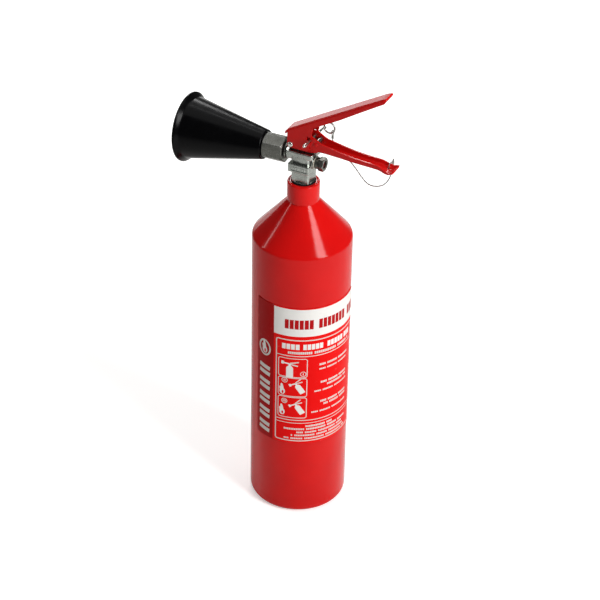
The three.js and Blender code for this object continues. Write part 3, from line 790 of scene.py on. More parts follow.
# ---------------------------------------------------------------- lanyard
@dataclass
class Lanyard:
    """The thin stranded wire between the pull ring and the carrying handle."""

    radius: float = 0.65
    strands: int = 6
    lay_length: float = 7.0
    route: tuple[Point, ...] = (
        (20.4, 25.5, 449.4), (20.6, 25.5, 447.6), (21.8, 25.35, 445.2), (24.2, 25, 442.6),
        (27.6, 24.4, 440), (32, 23.7, 437.2), (36.5, 22.95, 434.5), (41.2, 22.2, 431.5),
        (45.9, 21.4, 428.1), (50.3, 20.65, 424.3), (54.6, 19.95, 420.2), (58.5, 19.3, 416.4),
        (62.4, 18.6, 413.4), (66.5, 17.95, 411.7), (71, 17.2, 411.5), (75.8, 16.4, 412.6),
        (80.2, 15.7, 414.5), (84.2, 15, 417.2), (87.6, 14.5, 420.9), (90.3, 14.1, 425.2),
        (92.3, 13.8, 430), (93.8, 13.5, 435.2), (94.9, 13.35, 440.6), (95.4, 13.3, 445.8),
    )

    def curve(self, steps: int = 12) -> list[Vector]:
        """A smooth curve through the route.

        Args:
            steps: how many points are made between two of the route's.

        Returns:
            The curve's points in metres.
        """
        knots = [Vector(p) * MM for p in self.route]
        knots = [knots[0] * 2 - knots[1], *knots, knots[-1] * 2 - knots[-2]]
        points = []
        for a, b, c, d in zip(knots, knots[1:], knots[2:], knots[3:]):
            for k in range(steps):
                t = k / steps
                points.append(0.5 * (2 * b + (c - a) * t + (2 * a - 5 * b + 4 * c - d) * t * t
                                     + (3 * b - a - 3 * c + d) * t * t * t))
        points.append(knots[-2])
        return points

    def build(self) -> None:
        path = self.curve()
        strand = self.radius * 0.36 * MM
        orbit = self.radius * MM - strand
        side = Vector((0, 1, 0))
        verts: list[Vector] = []
        faces: list[tuple[int, ...]] = []
        run, sides = 0.0, 6
        frames = []
        for i, point in enumerate(path):
            ahead = (path[min(i + 1, len(path) - 1)] - path[max(i - 1, 0)]).normalized()
            side = (side - ahead * side.dot(ahead)).normalized()
            run += (point - path[i - 1]).length if i else 0.0
            frames.append((point, side.copy(), ahead.cross(side), run))
        for s in range(self.strands + 1):
            base = len(verts)
            for point, u, v, run in frames:
                turn = math.tau * (run / (self.lay_length * MM) + s / self.strands)
                reach = 0.0 if s == self.strands else orbit
                centre = point + (u * math.cos(turn) + v * math.sin(turn)) * reach
                for k in range(sides):
                    angle = math.tau * k / sides
                    verts.append(centre + (u * math.cos(angle) + v * math.sin(angle)) * strand)
            for i in range(len(frames) - 1):
                for k in range(sides):
                    a, b = base + i * sides + k, base + i * sides + (k + 1) % sides
                    faces.append((a, b, b + sides, a + sides))
            faces.append(tuple(base + k for k in reversed(range(sides))))
            end = base + (len(frames) - 1) * sides
            faces.append(tuple(end + k for k in range(sides)))
        mesh = bpy.data.meshes.new("lanyard_wire")
        mesh.from_pydata(verts, [], faces)
        wire = bpy.data.objects.new("lanyard_wire", mesh)
        bpy.context.scene.collection.objects.link(wire)
        close(wire, 60)
        wire.data.materials.append(WIRE.make())
        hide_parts("lanyard")
        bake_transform(wire)


# ---------------------------------------------------------------- cylinder
@dataclass
class Cylinder:
    """The steel cylinder with its conical shoulder, neck and neck ring."""

    radius: float = 54.0
    wall: float = 3.6
    base_fillet: float = 8.0
    shoulder: float = 342.0
    shoulder_fillet: float = 6.0
    neck_radius: float = 15.1
    neck_foot: float = 386.84
    neck_top: float = 407.3
    bore: float = 12.2
    ring: tuple[float, float, float] = (15.4, 17.3, 407.5)

    def build(self) -> None:
        """Turns the cylinder and its neck ring."""
        inner = self.radius - self.wall
        profile = rounded([
            (0, 1.6, 0), (30, 1.6, 1.5), (38, 0, 1.5), (self.radius, 0, self.base_fillet),
            (self.radius, self.shoulder, self.shoulder_fillet),
            (self.neck_radius, self.neck_foot, 1.2), (self.neck_radius, self.neck_top, 0.7),
            (self.bore, self.neck_top, 0.5), (self.bore, self.neck_foot - 6, 2),
            (inner, self.shoulder - 2, 5), (inner, 6, 6), (0, 6, 0),
        ], 9)
        body = turned("cylinder_body", upright(), profile, 128)
        dress(body, ENAMEL.make(), "root", "red_paint", "cylinder_shell")
        low, high, top = self.ring
        foot = self.neck_foot + 0.5
        ring = turned("neck_collar", upright(), rounded([
            (low, foot, 0), (high, foot - 2.4, 0.3), (high, top, 1.5), (low, top, 0.3),
            (low, foot, 0),
        ], 12), 96)
        dress(ring, ENAMEL.make(), "root", "red_paint", "neck_ring")


# ---------------------------------------------------------------- label
@dataclass(frozen=True)
class Ink:
    """One printed shape: its middle, size, turn and colour.

    The middle is (s, z) in mm, with s the distance round the cylinder from the -Y side.
    """

    s: float
    z: float
    width: float
    height: float
    colour: str
    turn: float = 0.0
    round: bool = False
    words: float = 0.0


WHITE, PALE, DEEP, SCARLET = "#EAE8E4", "#D9D4CE", "#A80608", "#E60D0C"


@dataclass(frozen=True)
class PrintedVinyl(Finish):
    """Printed vinyl: flat inks in layers under a clear film, a little scuffed.

    Sizes are in mm: the frames' corners, and the noises' blotches. A line of words is a row of
    blocks: stroke is the inked share of half a block's pitch, and blanks is the share left out.
    """

    cylinder_radius: float = 54.0
    frame_corner: float = 3.0
    stroke: float = 0.41
    scatter: float = 0.618
    blanks: float = 0.09
    fading: float = 45.0
    faded: str = "#DB0C0C"
    scuffs: float = 5.0
    scuffed: str = "#B9A9A4"
    smears: float = 14.0
    film: float = 1.4
    film_depth: float = 0.003

    def frame_lines(self, left: float, right: float, low: float, high: float, line: float,
                    fill: str = SCARLET) -> list[Ink]:
        """A pale frame with round corners: a pale round block under a smaller red one.

        Args:
            left: its left edge round the cylinder in mm.
            right: its right edge in mm.
            low: its lower edge in mm.
            high: its upper edge in mm.
            line: how thick its line is in mm.
            fill: the colour inside it.

        Returns:
            Its inks.
        """
        inks = []
        for colour, inset in ((PALE, 0.0), (fill, line)):
            r = self.frame_corner - inset
            x0, x1, y0, y1 = left + inset, right - inset, low + inset, high - inset
            mid_s, mid_z = (x0 + x1) / 2, (y0 + y1) / 2
            inks.append(Ink(mid_s, mid_z, x1 - x0 - 2 * r, y1 - y0, colour))
            inks.append(Ink(mid_s, mid_z, x1 - x0, y1 - y0 - 2 * r, colour))
            for s in (x0 + r, x1 - r):
                for z in (y0 + r, y1 - r):
                    inks.append(Ink(s, z, 2 * r, 2 * r, colour, 0, True))
        return inks

    def bottle(self, s: float, z: float, size: float, turn: float) -> list[Ink]:
        """A plain picture of an extinguisher with its horn.

        Args:
            s: its middle round the cylinder in mm.
            z: its middle's height in mm.
            size: its scale.
            turn: how far it is turned, in degrees.

        Returns:
            Its inks.
        """
        a = math.radians(turn)

        def at(u: float, v: float) -> Flat:
            """A place in the picture."""
            return (s + size * (u * math.cos(a) - v * math.sin(a)),
                    z + size * (u * math.sin(a) + v * math.cos(a)))

        return [
            Ink(*at(0, -3.4), 6.4 * size, 10 * size, WHITE, turn),
            Ink(*at(0, 1.6), 6.4 * size, 6.4 * size, WHITE, turn, True),
            Ink(*at(0, 5.4), 2 * size, 3 * size, WHITE, turn),
            Ink(*at(-3.6, 7.2), 7.2 * size, 1.5 * size, WHITE, turn - 6),
            Ink(*at(-6.6, 7.6), 2.4 * size, 3.4 * size, WHITE, turn - 6),
            Ink(*at(4.2, 8.4), 8 * size, 1.3 * size, PALE, turn + 12),
            Ink(*at(4.2, 5.6), 6.6 * size, 1.3 * size, PALE, turn - 14),
        ]

    def flame(self, s: float, z: float, size: float) -> list[Ink]:
        """A plain flame: a round foot under two leaning tongues.

        Args:
            s: its foot's middle round the cylinder in mm.
            z: its foot's height in mm.
            size: its scale.

        Returns:
            Its inks.
        """
        return [
            Ink(s, z, 5.4 * size, 7 * size, WHITE, 0, True),
            Ink(s - 0.2 * size, z + 3.6 * size, 3 * size, 11 * size, WHITE, 8, True),
            Ink(s - 1.8 * size, z + 2.4 * size, 1.8 * size, 6 * size, WHITE, 16, True),
            Ink(s + 0.3 * size, z - 0.8 * size, 1.8 * size, 3.8 * size, SCARLET, 0, True),
        ]

    def step_mark(self, s: float, z: float, count: int) -> list[Ink]:
        """A ringed tally that numbers a step.

        Args:
            s: its middle round the cylinder in mm.
            z: its middle's height in mm.
            count: the step's number.

        Returns:
            Its inks.
        """
        ring = [Ink(s, z, 6.8, 6.8, PALE, 0, True), Ink(s, z, 5.2, 5.2, SCARLET, 0, True)]
        return ring + [Ink(s + (k - (count - 1) / 2) * 1.3, z, 0.7, 3, WHITE)
                       for k in range(count)]

    def strip(self) -> list[Ink]:
        """The dark strip at the left.

        Returns:
            Its inks: a plain emblem over five pairs of slanted bars.
        """
        inks = [Ink(-17.2, 189.8, 24, 180.5, DEEP), Ink(-17.4, 219, 17, 21, PALE, 0, True),
                Ink(-17.4, 219, 13, 16.6, DEEP, 0, True), *self.flame(-17.2, 216.4, 1.3)]
        for k in range(5):
            z = 190 - 19.2 * k
            inks += [Ink(-17.2, z + 3.9, 15, 5.0, PALE, -8), Ink(-17.2, z - 3.9, 15, 5.0, PALE, -8)]
        return inks

    def drawing(self) -> list[Ink]:
        """The label's drawing.

        Returns:
            Its inks, from the lowest layer to the top one.
        """
        inks = [*self.strip(), Ink(48.5, 261.5, 107.2, 35, WHITE)]
        inks += [Ink(7 + w / 2 + s, 259.5, w, 12, "#B01216", 0, False, 5.2)
                 for s, w in ((0, 32), (37, 36), (78, 16))]
        inks += self.frame_lines(-2.4, 97.7, 102.5, 239.5, 1.3)
        inks += [Ink(14.3, 230.3, 20, 7.0, WHITE, 0, False, 4.6),
                 Ink(52.5, 230.3, 50, 7.0, WHITE, 0, False, 4.6),
                 Ink(85.5, 230.3, 12, 7.0, WHITE, 0, False, 4.6),
                 Ink(49, 222.4, 80, 3.2, PALE, 0, False, 2.2),
                 Ink(47.6, 218, 97, 1.0, PALE), Ink(47.6, 131.6, 97, 1.0, PALE),
                 Ink(47.6, 127.6, 97, 0.8, PALE)]
        for low, high in ((189.5, 215), (163.5, 189), (134.5, 163)):
            inks += self.frame_lines(0.6, 33, low, high, 0.9)
        inks += [*self.bottle(13.6, 199.2, 1.2, 0), *self.step_mark(28.4, 194.6, 1)]
        for z, count in ((176, 2), (148, 3)):
            inks += [*self.bottle(24, z, 1.0, 32), *self.flame(5.8, z - 6.4, 1.15),
                     *self.step_mark(8.2, z + 9, count)]
        rows = ((46, 42, 205, 2.6), (46, 40, 199, 2.0), (48, 38, 181, 2.6), (54, 32, 176.4, 2.6),
                (41, 46, 170, 2.0), (48, 38, 155, 2.6), (52, 34, 150.6, 2.6), (38, 50, 142, 2.0),
                (30, 34, 123.4, 2.4), (6, 80, 119.4, 2.4), (22, 58, 115, 2.2),
                (16, 66, 110.8, 2.2), (8, 78, 106.6, 2.0))
        inks += [Ink(s + w / 2, z, w, h, PALE, 0, False, 1.9) for s, w, z, h in rows]
        inks += [Ink(99.6, z, 1.4, 5, WHITE) for z in (222, 208, 176, 146, 124)]
        return inks

    def stamp(self, tree: Tree, s: Socket, z: Socket, ink: Ink) -> Socket:
        """Where one ink lies on the sheet.

        Args:
            tree: the node tree.
            s: the distance round the cylinder in mm.
            z: the height in mm.
            ink: the shape.

        Returns:
            Its mask, from 0 to 1.
        """
        turn = math.radians(ink.turn)
        spread = []
        for size, c, k in ((ink.width, math.cos(turn), math.sin(turn)),
                           (ink.height, -math.sin(turn), math.cos(turn))):
            begins = -(ink.s * c + ink.z * k) * 2 / size
            along = add_node(tree, "Math", (z, k * 2 / size, begins), operation="MULTIPLY_ADD")
            spread.append(
                add_node(tree, "Math", (s, c * 2 / size, along), operation="MULTIPLY_ADD"))
        u, v = spread
        if ink.round:
            square = add_node(tree, "Math", (v, v), operation="MULTIPLY")
            square = add_node(tree, "Math", (u, u, square), operation="MULTIPLY_ADD")
            return add_node(tree, "Math", (square, 1.0), operation="LESS_THAN")
        wide = add_node(tree, "Math", (u, 0.0, 1.0), operation="COMPARE")
        tall = add_node(tree, "Math", (v, 0.0, 1.0), operation="COMPARE")
        mask = add_node(tree, "Math", (wide, tall), operation="MULTIPLY")
        if not ink.words:
            return mask
        pitch = ink.width / round(ink.width / ink.words)
        begins = 0.5 - (ink.s - ink.width / 2) / pitch
        run = add_node(tree, "Math", (s, 1 / pitch, begins), operation="MULTIPLY_ADD")
        stroke = add_node(tree, "Math", (run, 0.5), operation="PINGPONG")
        stroke = add_node(tree, "Math", (stroke, self.stroke), operation="LESS_THAN")
        mask = add_node(tree, "Math", (mask, stroke), operation="MULTIPLY")
        hop = add_node(tree, "Math", (run, 0.5), operation="ADD")
        hop = add_node(tree, "Math", (hop,), operation="FLOOR")
        chance = add_node(tree, "Math", (hop, self.scatter, ink.z), operation="MULTIPLY_ADD")
        chance = add_node(tree, "Math", (chance,), operation="FRACT")
        space = add_node(tree, "Math", (chance, self.blanks), operation="GREATER_THAN")
        return add_node(tree, "Math", (mask, space), operation="MULTIPLY")

    def make(self) -> bpy.types.Material:
        """Returns the vinyl with its drawing, its film and its scuffs.

        The inks' nodes are made one after another and carry plain numbers only, because a shader
        holds few values at a time, and a long drawing turns black in any other order.
        """
        material, tree, shader, place = self.begin()
        x, y, up = add_node(tree, "SeparateXYZ", (place,)).node.outputs
        inward = add_node(tree, "Math", (y, -1.0), operation="MULTIPLY")
        turn = add_node(tree, "Math", (x, inward), operation="ARCTAN2")
        s = add_node(tree, "Math", (turn, self.cylinder_radius), operation="MULTIPLY")
        z = add_node(tree, "Math", (up, MM), operation="DIVIDE")
        fade = patches(tree, place, self.fading, 2, 0.3, 0.7, 0.0, 0.25)
        colour = add_node(tree, "Mix", {
            0: fade, 6: linear(self.colour), 7: linear(self.faded)}, **MIX)
        for ink in self.drawing():
            colour = add_node(tree, "Mix", {
                0: self.stamp(tree, s, z, ink), 6: colour, 7: linear(ink.colour)}, **MIX)
        scuff = patches(tree, place, self.scuffs, 5, 0.62, 0.75, 0.0, 0.12, rough=0.65)
        colour = add_node(tree, "Mix", {0: scuff, 6: colour, 7: linear(self.scuffed)}, **MIX)
        dull = patches(tree, place, self.smears, 4, 0.3, 0.7, self.roughness,
                       self.roughness + 0.12)
        film = add_node(tree, "TexNoise", {
            "Vector": place, "Scale": scale_for(self.film), "Detail": 1})
        relief = add_node(tree, "Bump", {"Height": film, "Distance": self.film_depth * MM})
        feed(tree, shader, {"Base Color": colour, "Roughness": dull, "Normal": relief,
                            "Specular IOR Level": 0.05})
        return material


@dataclass
class InstructionLabel:
    """The wrap-round instruction label."""

    first: float = -31.2
    last: float = 107.0
    low: float = 99.5
    high: float = 280.0
    inner: float = 54.3
    thick: float = 0.4

    def build(self) -> None:
        """Rolls a sleeve, cuts it at both ends and gives it its thickness."""
        middle = (self.low + self.high) / 2 * MM
        sleeve = start("wrap_label", bpy.ops.mesh.primitive_cylinder_add, vertices=180,
                       radius=self.inner * MM, depth=(self.high - self.low) * MM,
                       end_fill_type="NOTHING", location=(0, 0, middle))
        for degrees, side in ((self.first, {"clear_inner": True}),
                              (self.last, {"clear_outer": True})):
            a = math.radians(degrees)
            bpy.ops.mesh.select_all(action="SELECT")
            bpy.ops.mesh.bisect(plane_co=(0, 0, middle), plane_no=(math.cos(a), math.sin(a), 0),
                                **side)
        bpy.ops.mesh.select_all(action="SELECT")
        bpy.ops.mesh.normals_make_consistent(inside=False)
        activate(sleeve)
        face = sleeve.data.polygons[0]
        outward = 1.0 if face.normal.dot(Vector((face.center.x, face.center.y, 0))) > 0 else -1.0
        modify(sleeve, "SOLIDIFY", thickness=self.thick * MM, offset=outward)
        close(sleeve)
        dress(sleeve, PrintedVinyl("printed_vinyl_film", "#E6100F", 0.3).make(), "root",
              "label_vinyl", "instruction_label")


# ---------------------------------------------------------------- valve
@dataclass
class Valve:
    """The forged valve block with its plate, bosses, shank and tongue."""

    bar: tuple[Point, Point] = ((-12.3, -14, 422.3), (12, 14, 431.8))
    panel: tuple[Flat, Flat] = ((-8.5, 424.4), (10, 429.7))
    panel_depth: float = 0.7
    marks: int = 6
    mark_start: float = 1.9
    mark_pitch: float = 2.7
    mark_width: float = 1.5
    mark_slant: float = 0.4
    mark_margin: float = 1.2
    mark_rise: float = 0.45
    root: Profile = ((0, 384.4, 0), (11.9, 384.4, 0.5), (11.9, 409.9, 0.6), (0, 409.9, 0))
    boss: Profile = ((0, 3, 0), (8.2, 3, 0), (8.2, 17.6, 0.7), (3.5, 17.6, 0), (3.5, 3, 0),
                     (0, 3, 0))
    burst_height: float = 432.5
    port: Profile = ((0, 2, 0), (7.6, 2, 0), (7.6, 13.2, 0.6), (0, 13.2, 0))
    plate: tuple[Point, Point] = ((-17, -12.6, 440), (15.2, 12.6, 445.7))
    seam: float = 444.7
    drum_place: Flat = (2.9, 441.2)
    drum: Profile = ((0, -12.1, 0), (6.8, -12.1, 0.6), (6.8, 12.1, 0.6), (0, 12.1, 0))
    shank: tuple[Flat, ...] = ((-10.3, -8.2), (-8.7, -9.8), (8.7, -9.8), (10.3, -8.2),
                               (10.3, 8.2), (8.7, 9.8), (-8.7, 9.8), (-10.3, 8.2))
    shank_ends: Flat = (408.9, 441)
    tongue_half: float = 5.5
    gland: tuple[float, float, float] = (4.2, 452.6, 470)
    stem_bore: tuple[Flat, ...] = ((0, 375), (6.6, 375), (6.6, 434.8), (3, 434.8), (3, 437),
                                   (2.35, 437), (2.35, 470), (0, 470), (0, 375))

    def forged_bar(self) -> bpy.types.Object:
        """Cuts the cross bar.

        Returns:
            The bar, its side panels sunk and filled with plain raised bars.
        """
        (x0, z0), (x1, z1) = self.panel
        side = self.bar[1][1]
        foot, head = z0 + self.mark_margin, z1 - self.mark_margin
        bar = block("valve_bar", *self.bar, 1.4, 0.7)
        for sign in (-1, 1):
            outer, inner = sign * (side + 2), sign * (side - self.panel_depth)
            low, high = sorted((outer, inner))
            combine(bar, block("panel_cutter", (x0, low, z0), (x1, high, z1), 0.1, 0.25, 1),
                    "DIFFERENCE")
            low, high = sorted((inner - sign * 0.3, inner + sign * self.mark_rise))
            for k in range(self.marks):
                left = x0 + self.mark_start + k * self.mark_pitch
                right = left + self.mark_width
                mark = [(left, foot), (right, foot), (right + self.mark_slant, head),
                        (left + self.mark_slant, head)]
                combine(bar, plate("raised_mark", mark, low, high), "UNION")
        return close(bar)

    def side_boss(self) -> bpy.types.Object:
        """The drum across the valve, cut off level with the plate."""
        drum = turned("side_boss", across(*self.drum_place), rounded(self.drum), 48)
        cutter = block("drum_cutter", (-10, -20, self.seam), (20, 20, 460), 0.1, 0.1, 1)
        combine(drum, cutter, "DIFFERENCE")
        return close(drum)

    def square_shank(self) -> bpy.types.Object:
        """The square shank with its cut corners."""
        shank = plate("valve_shank", self.shank, *self.shank_ends, standing=True)
        soften(shank, 0.3)
        return shank

    def tongue(self) -> bpy.types.Object:
        """Shapes the tongue between the grips.

        Returns:
            The tongue, bored for the gland nut.
        """
        tongue = plate("valve_tongue", [
            (-14.8, self.seam), (14.6, self.seam), (15, 451.7),
            *circle_arc(16.4, 458.2, 3.2, -45, 180, 12), (13.2, 458.4),
            *circle_arc(-10.4, 454, 4.4, 90, 180, 6),
        ], -self.tongue_half, self.tongue_half)
        combine(tongue, turned("gland_cutter", upright(), rod(*self.gland), 40), "DIFFERENCE")
        soften(tongue, 0.5)
        return close(tongue)

    def build(self) -> None:
        """Forges the block from its round, square and flat parts, and bores it for the stem."""
        finish = NICKEL.make()
        pieces = [
            self.forged_bar(),
            turned("valve_root", upright(), rounded(self.root), 64),
            turned("horn_boss", horn_axis(), rounded(self.boss), 48),
            turned("burst_port", sideways(self.burst_height), rounded(self.port), 48),
            block("valve_plate", *self.plate, 4.2, 0.8, 6),
            self.side_boss(),
            self.square_shank(),
            self.tongue(),
        ]
        for piece in pieces:
            combine(piece, turned("stem_bore", upright(), self.stem_bore, 40), "DIFFERENCE")
            dress(close(piece), finish, "root", "nickel", "valve_body")


@dataclass
class BurstPlug:
    """The hexagonal plug on the valve's side, with a coloured disc in its bore."""

    height: float = 432.5
    flats: float = 13.6
    face: float = 24.4
    depth: float = 5.8
    chamfer: tuple[Flat, ...] = ((0, 18.6), (7.0, 18.6), (8.3, 19.5), (8.3, 23.4), (6.9, 24.4),
                                 (0, 24.4), (0, 18.6))
    bore: tuple[Flat, ...] = ((0, 21), (4.45, 21), (4.45, 24), (5, 25), (0, 25), (0, 21))
    collar: Profile = ((0, 10, 0), (4.8, 10, 0), (4.8, 14.6, 0), (6.3, 14.6, 0.4), (6.3, 19, 0.4),
                       (0, 19, 0))
    foil: Profile = ((0, 21.3, 0), (4.1, 21.3, 0), (4.1, 21.9, 0.2), (2.6, 21.6, 0.4),
                     (0, 21.7, 0))

    def build(self) -> None:
        """Cuts the hexagon, its chamfers and its bore."""
        axis = sideways(self.height)
        hexagon = start("burst_plug", bpy.ops.mesh.primitive_cylinder_add, vertices=6,
                        radius=self.flats / math.sqrt(3) * MM, depth=self.depth * MM,
                        location=axis.at(0, self.face - self.depth / 2),
                        rotation=(0, math.pi / 2, 0))
        close(hexagon)
        combine(hexagon, turned("plug_chamfer", axis, self.chamfer, 48), "INTERSECT")
        combine(hexagon, turned("plug_bore", axis, self.bore, 40), "DIFFERENCE")
        soften(hexagon, 0.2)
        dress(close(hexagon, 30), ZINC.make(), "root", "zinc", "burst_disc_plug")
        collar = turned("burst_plug_collar", axis, rounded(self.collar), 40)
        dress(collar, ZINC.make(), "root", "zinc", "burst_disc_plug")
        disc = turned("burst_foil", axis, rounded(self.foil), 40)
        dress(disc, LACQUER.make(), "root", "copper_foil", "burst_disc")


# ---------------------------------------------------------------- horn
def horn_axis() -> Axis:
    """The horn's axis: out along -X, tipped a little down."""
    tilt = math.radians(1.9)
    return Axis((0, 0, 439.2), (-math.cos(tilt), 0, -math.sin(tilt)),
                (-math.sin(tilt), 0, math.cos(tilt)))


@dataclass
class HornAssembly:
    """The hexagonal coupling and the moulded horn screwed onto the valve."""

    flats: float = 26.2
    near: float = 20.5
    far: float = 44.0
    corner: float = 7.3
    chamfer: Flat = (12.7, 1.5)
    girth: float = 15.3
    bore: tuple[Flat, ...] = ((0, 19), (8, 19), (8, 31), (3.6, 31), (3.6, 35.6), (9.45, 35.6),
                              (9.45, 45), (0, 45), (0, 19))
    wall_profile: Profile = (
        (5.5, 36.2, 0), (9.1, 36.2, 0), (9.1, 44.6, 0.4), (15.8, 44.6, 1.6), (33.4, 131, 4),
        (36.7, 134.2, 1.6), (37.9, 135.6, 0.6), (37.9, 137.4, 0.9), (35.3, 137.4, 0.9),
        (31.6, 131.8, 3), (14.21, 47.6, 1), (5.5, 47.6, 0), (5.5, 36.2, 0),
    )

    def coupling(self, axis: Axis) -> bpy.types.Object:
        """Cuts the hexagonal coupling, its chamfers and its stepped bore.

        A new hexagon has a corner on +Y, hence the 30 degrees.

        Args:
            axis: the horn's axis.

        Returns:
            The coupling.
        """
        turn = Matrix((axis.radial, Vector(axis.along).cross(axis.radial), axis.along))
        spin = turn.transposed() @ Matrix.Rotation(math.radians(self.corner + 30), 3, "Z")
        nut = start("coupling_nut", bpy.ops.mesh.primitive_cylinder_add, vertices=6,
                    radius=self.flats / math.sqrt(3) * MM, depth=(self.far - self.near) * MM,
                    location=axis.at(0, (self.near + self.far) / 2), rotation=spin.to_euler())
        close(nut)
        face, step = self.chamfer
        combine(nut, turned("nut_chamfer", axis, [
            (0, self.near), (face, self.near), (self.girth, self.near + step),
            (self.girth, self.far - step), (face, self.far), (0, self.far), (0, self.near)], 72),
            "INTERSECT")
        combine(nut, turned("nut_bore", axis, self.bore, 48), "DIFFERENCE")
        soften(nut, 0.2)
        return close(nut, 30)

    def build(self) -> None:
        """Cuts the coupling and turns the horn."""
        axis = horn_axis()
        dress(self.coupling(axis), ZINC.make(), "root", "zinc", "horn_coupling")
        horn = turned("horn_cone", axis, rounded(self.wall_profile, 12), 128)
        dress(horn, BLACK.make(), "root", "black_plastic", "discharge_horn")


# ---------------------------------------------------------------- grips
def circle_arc(u: float, v: float, radius: float, first: float, last: float,
               steps: int) -> list[Flat]:
    """Points round part of a circle.

    Args:
        u: the centre's first coordinate in mm.
        v: the centre's second coordinate in mm.
        radius: the radius in mm.
        first: the first angle in degrees.
        last: the last angle in degrees.
        steps: how many steps lie between them.

    Returns:
        The points.
    """
    angles = [math.radians(first + (last - first) * k / steps) for k in range(steps + 1)]
    return [(u + radius * math.cos(a), v + radius * math.sin(a)) for a in angles]


def rod_through(name: str, x: float, z: float, radius: float) -> bpy.types.Object:
    """A long round cutter along Y."""
    return turned(name, across(x, z), rod(radius, -20, 20), 32)


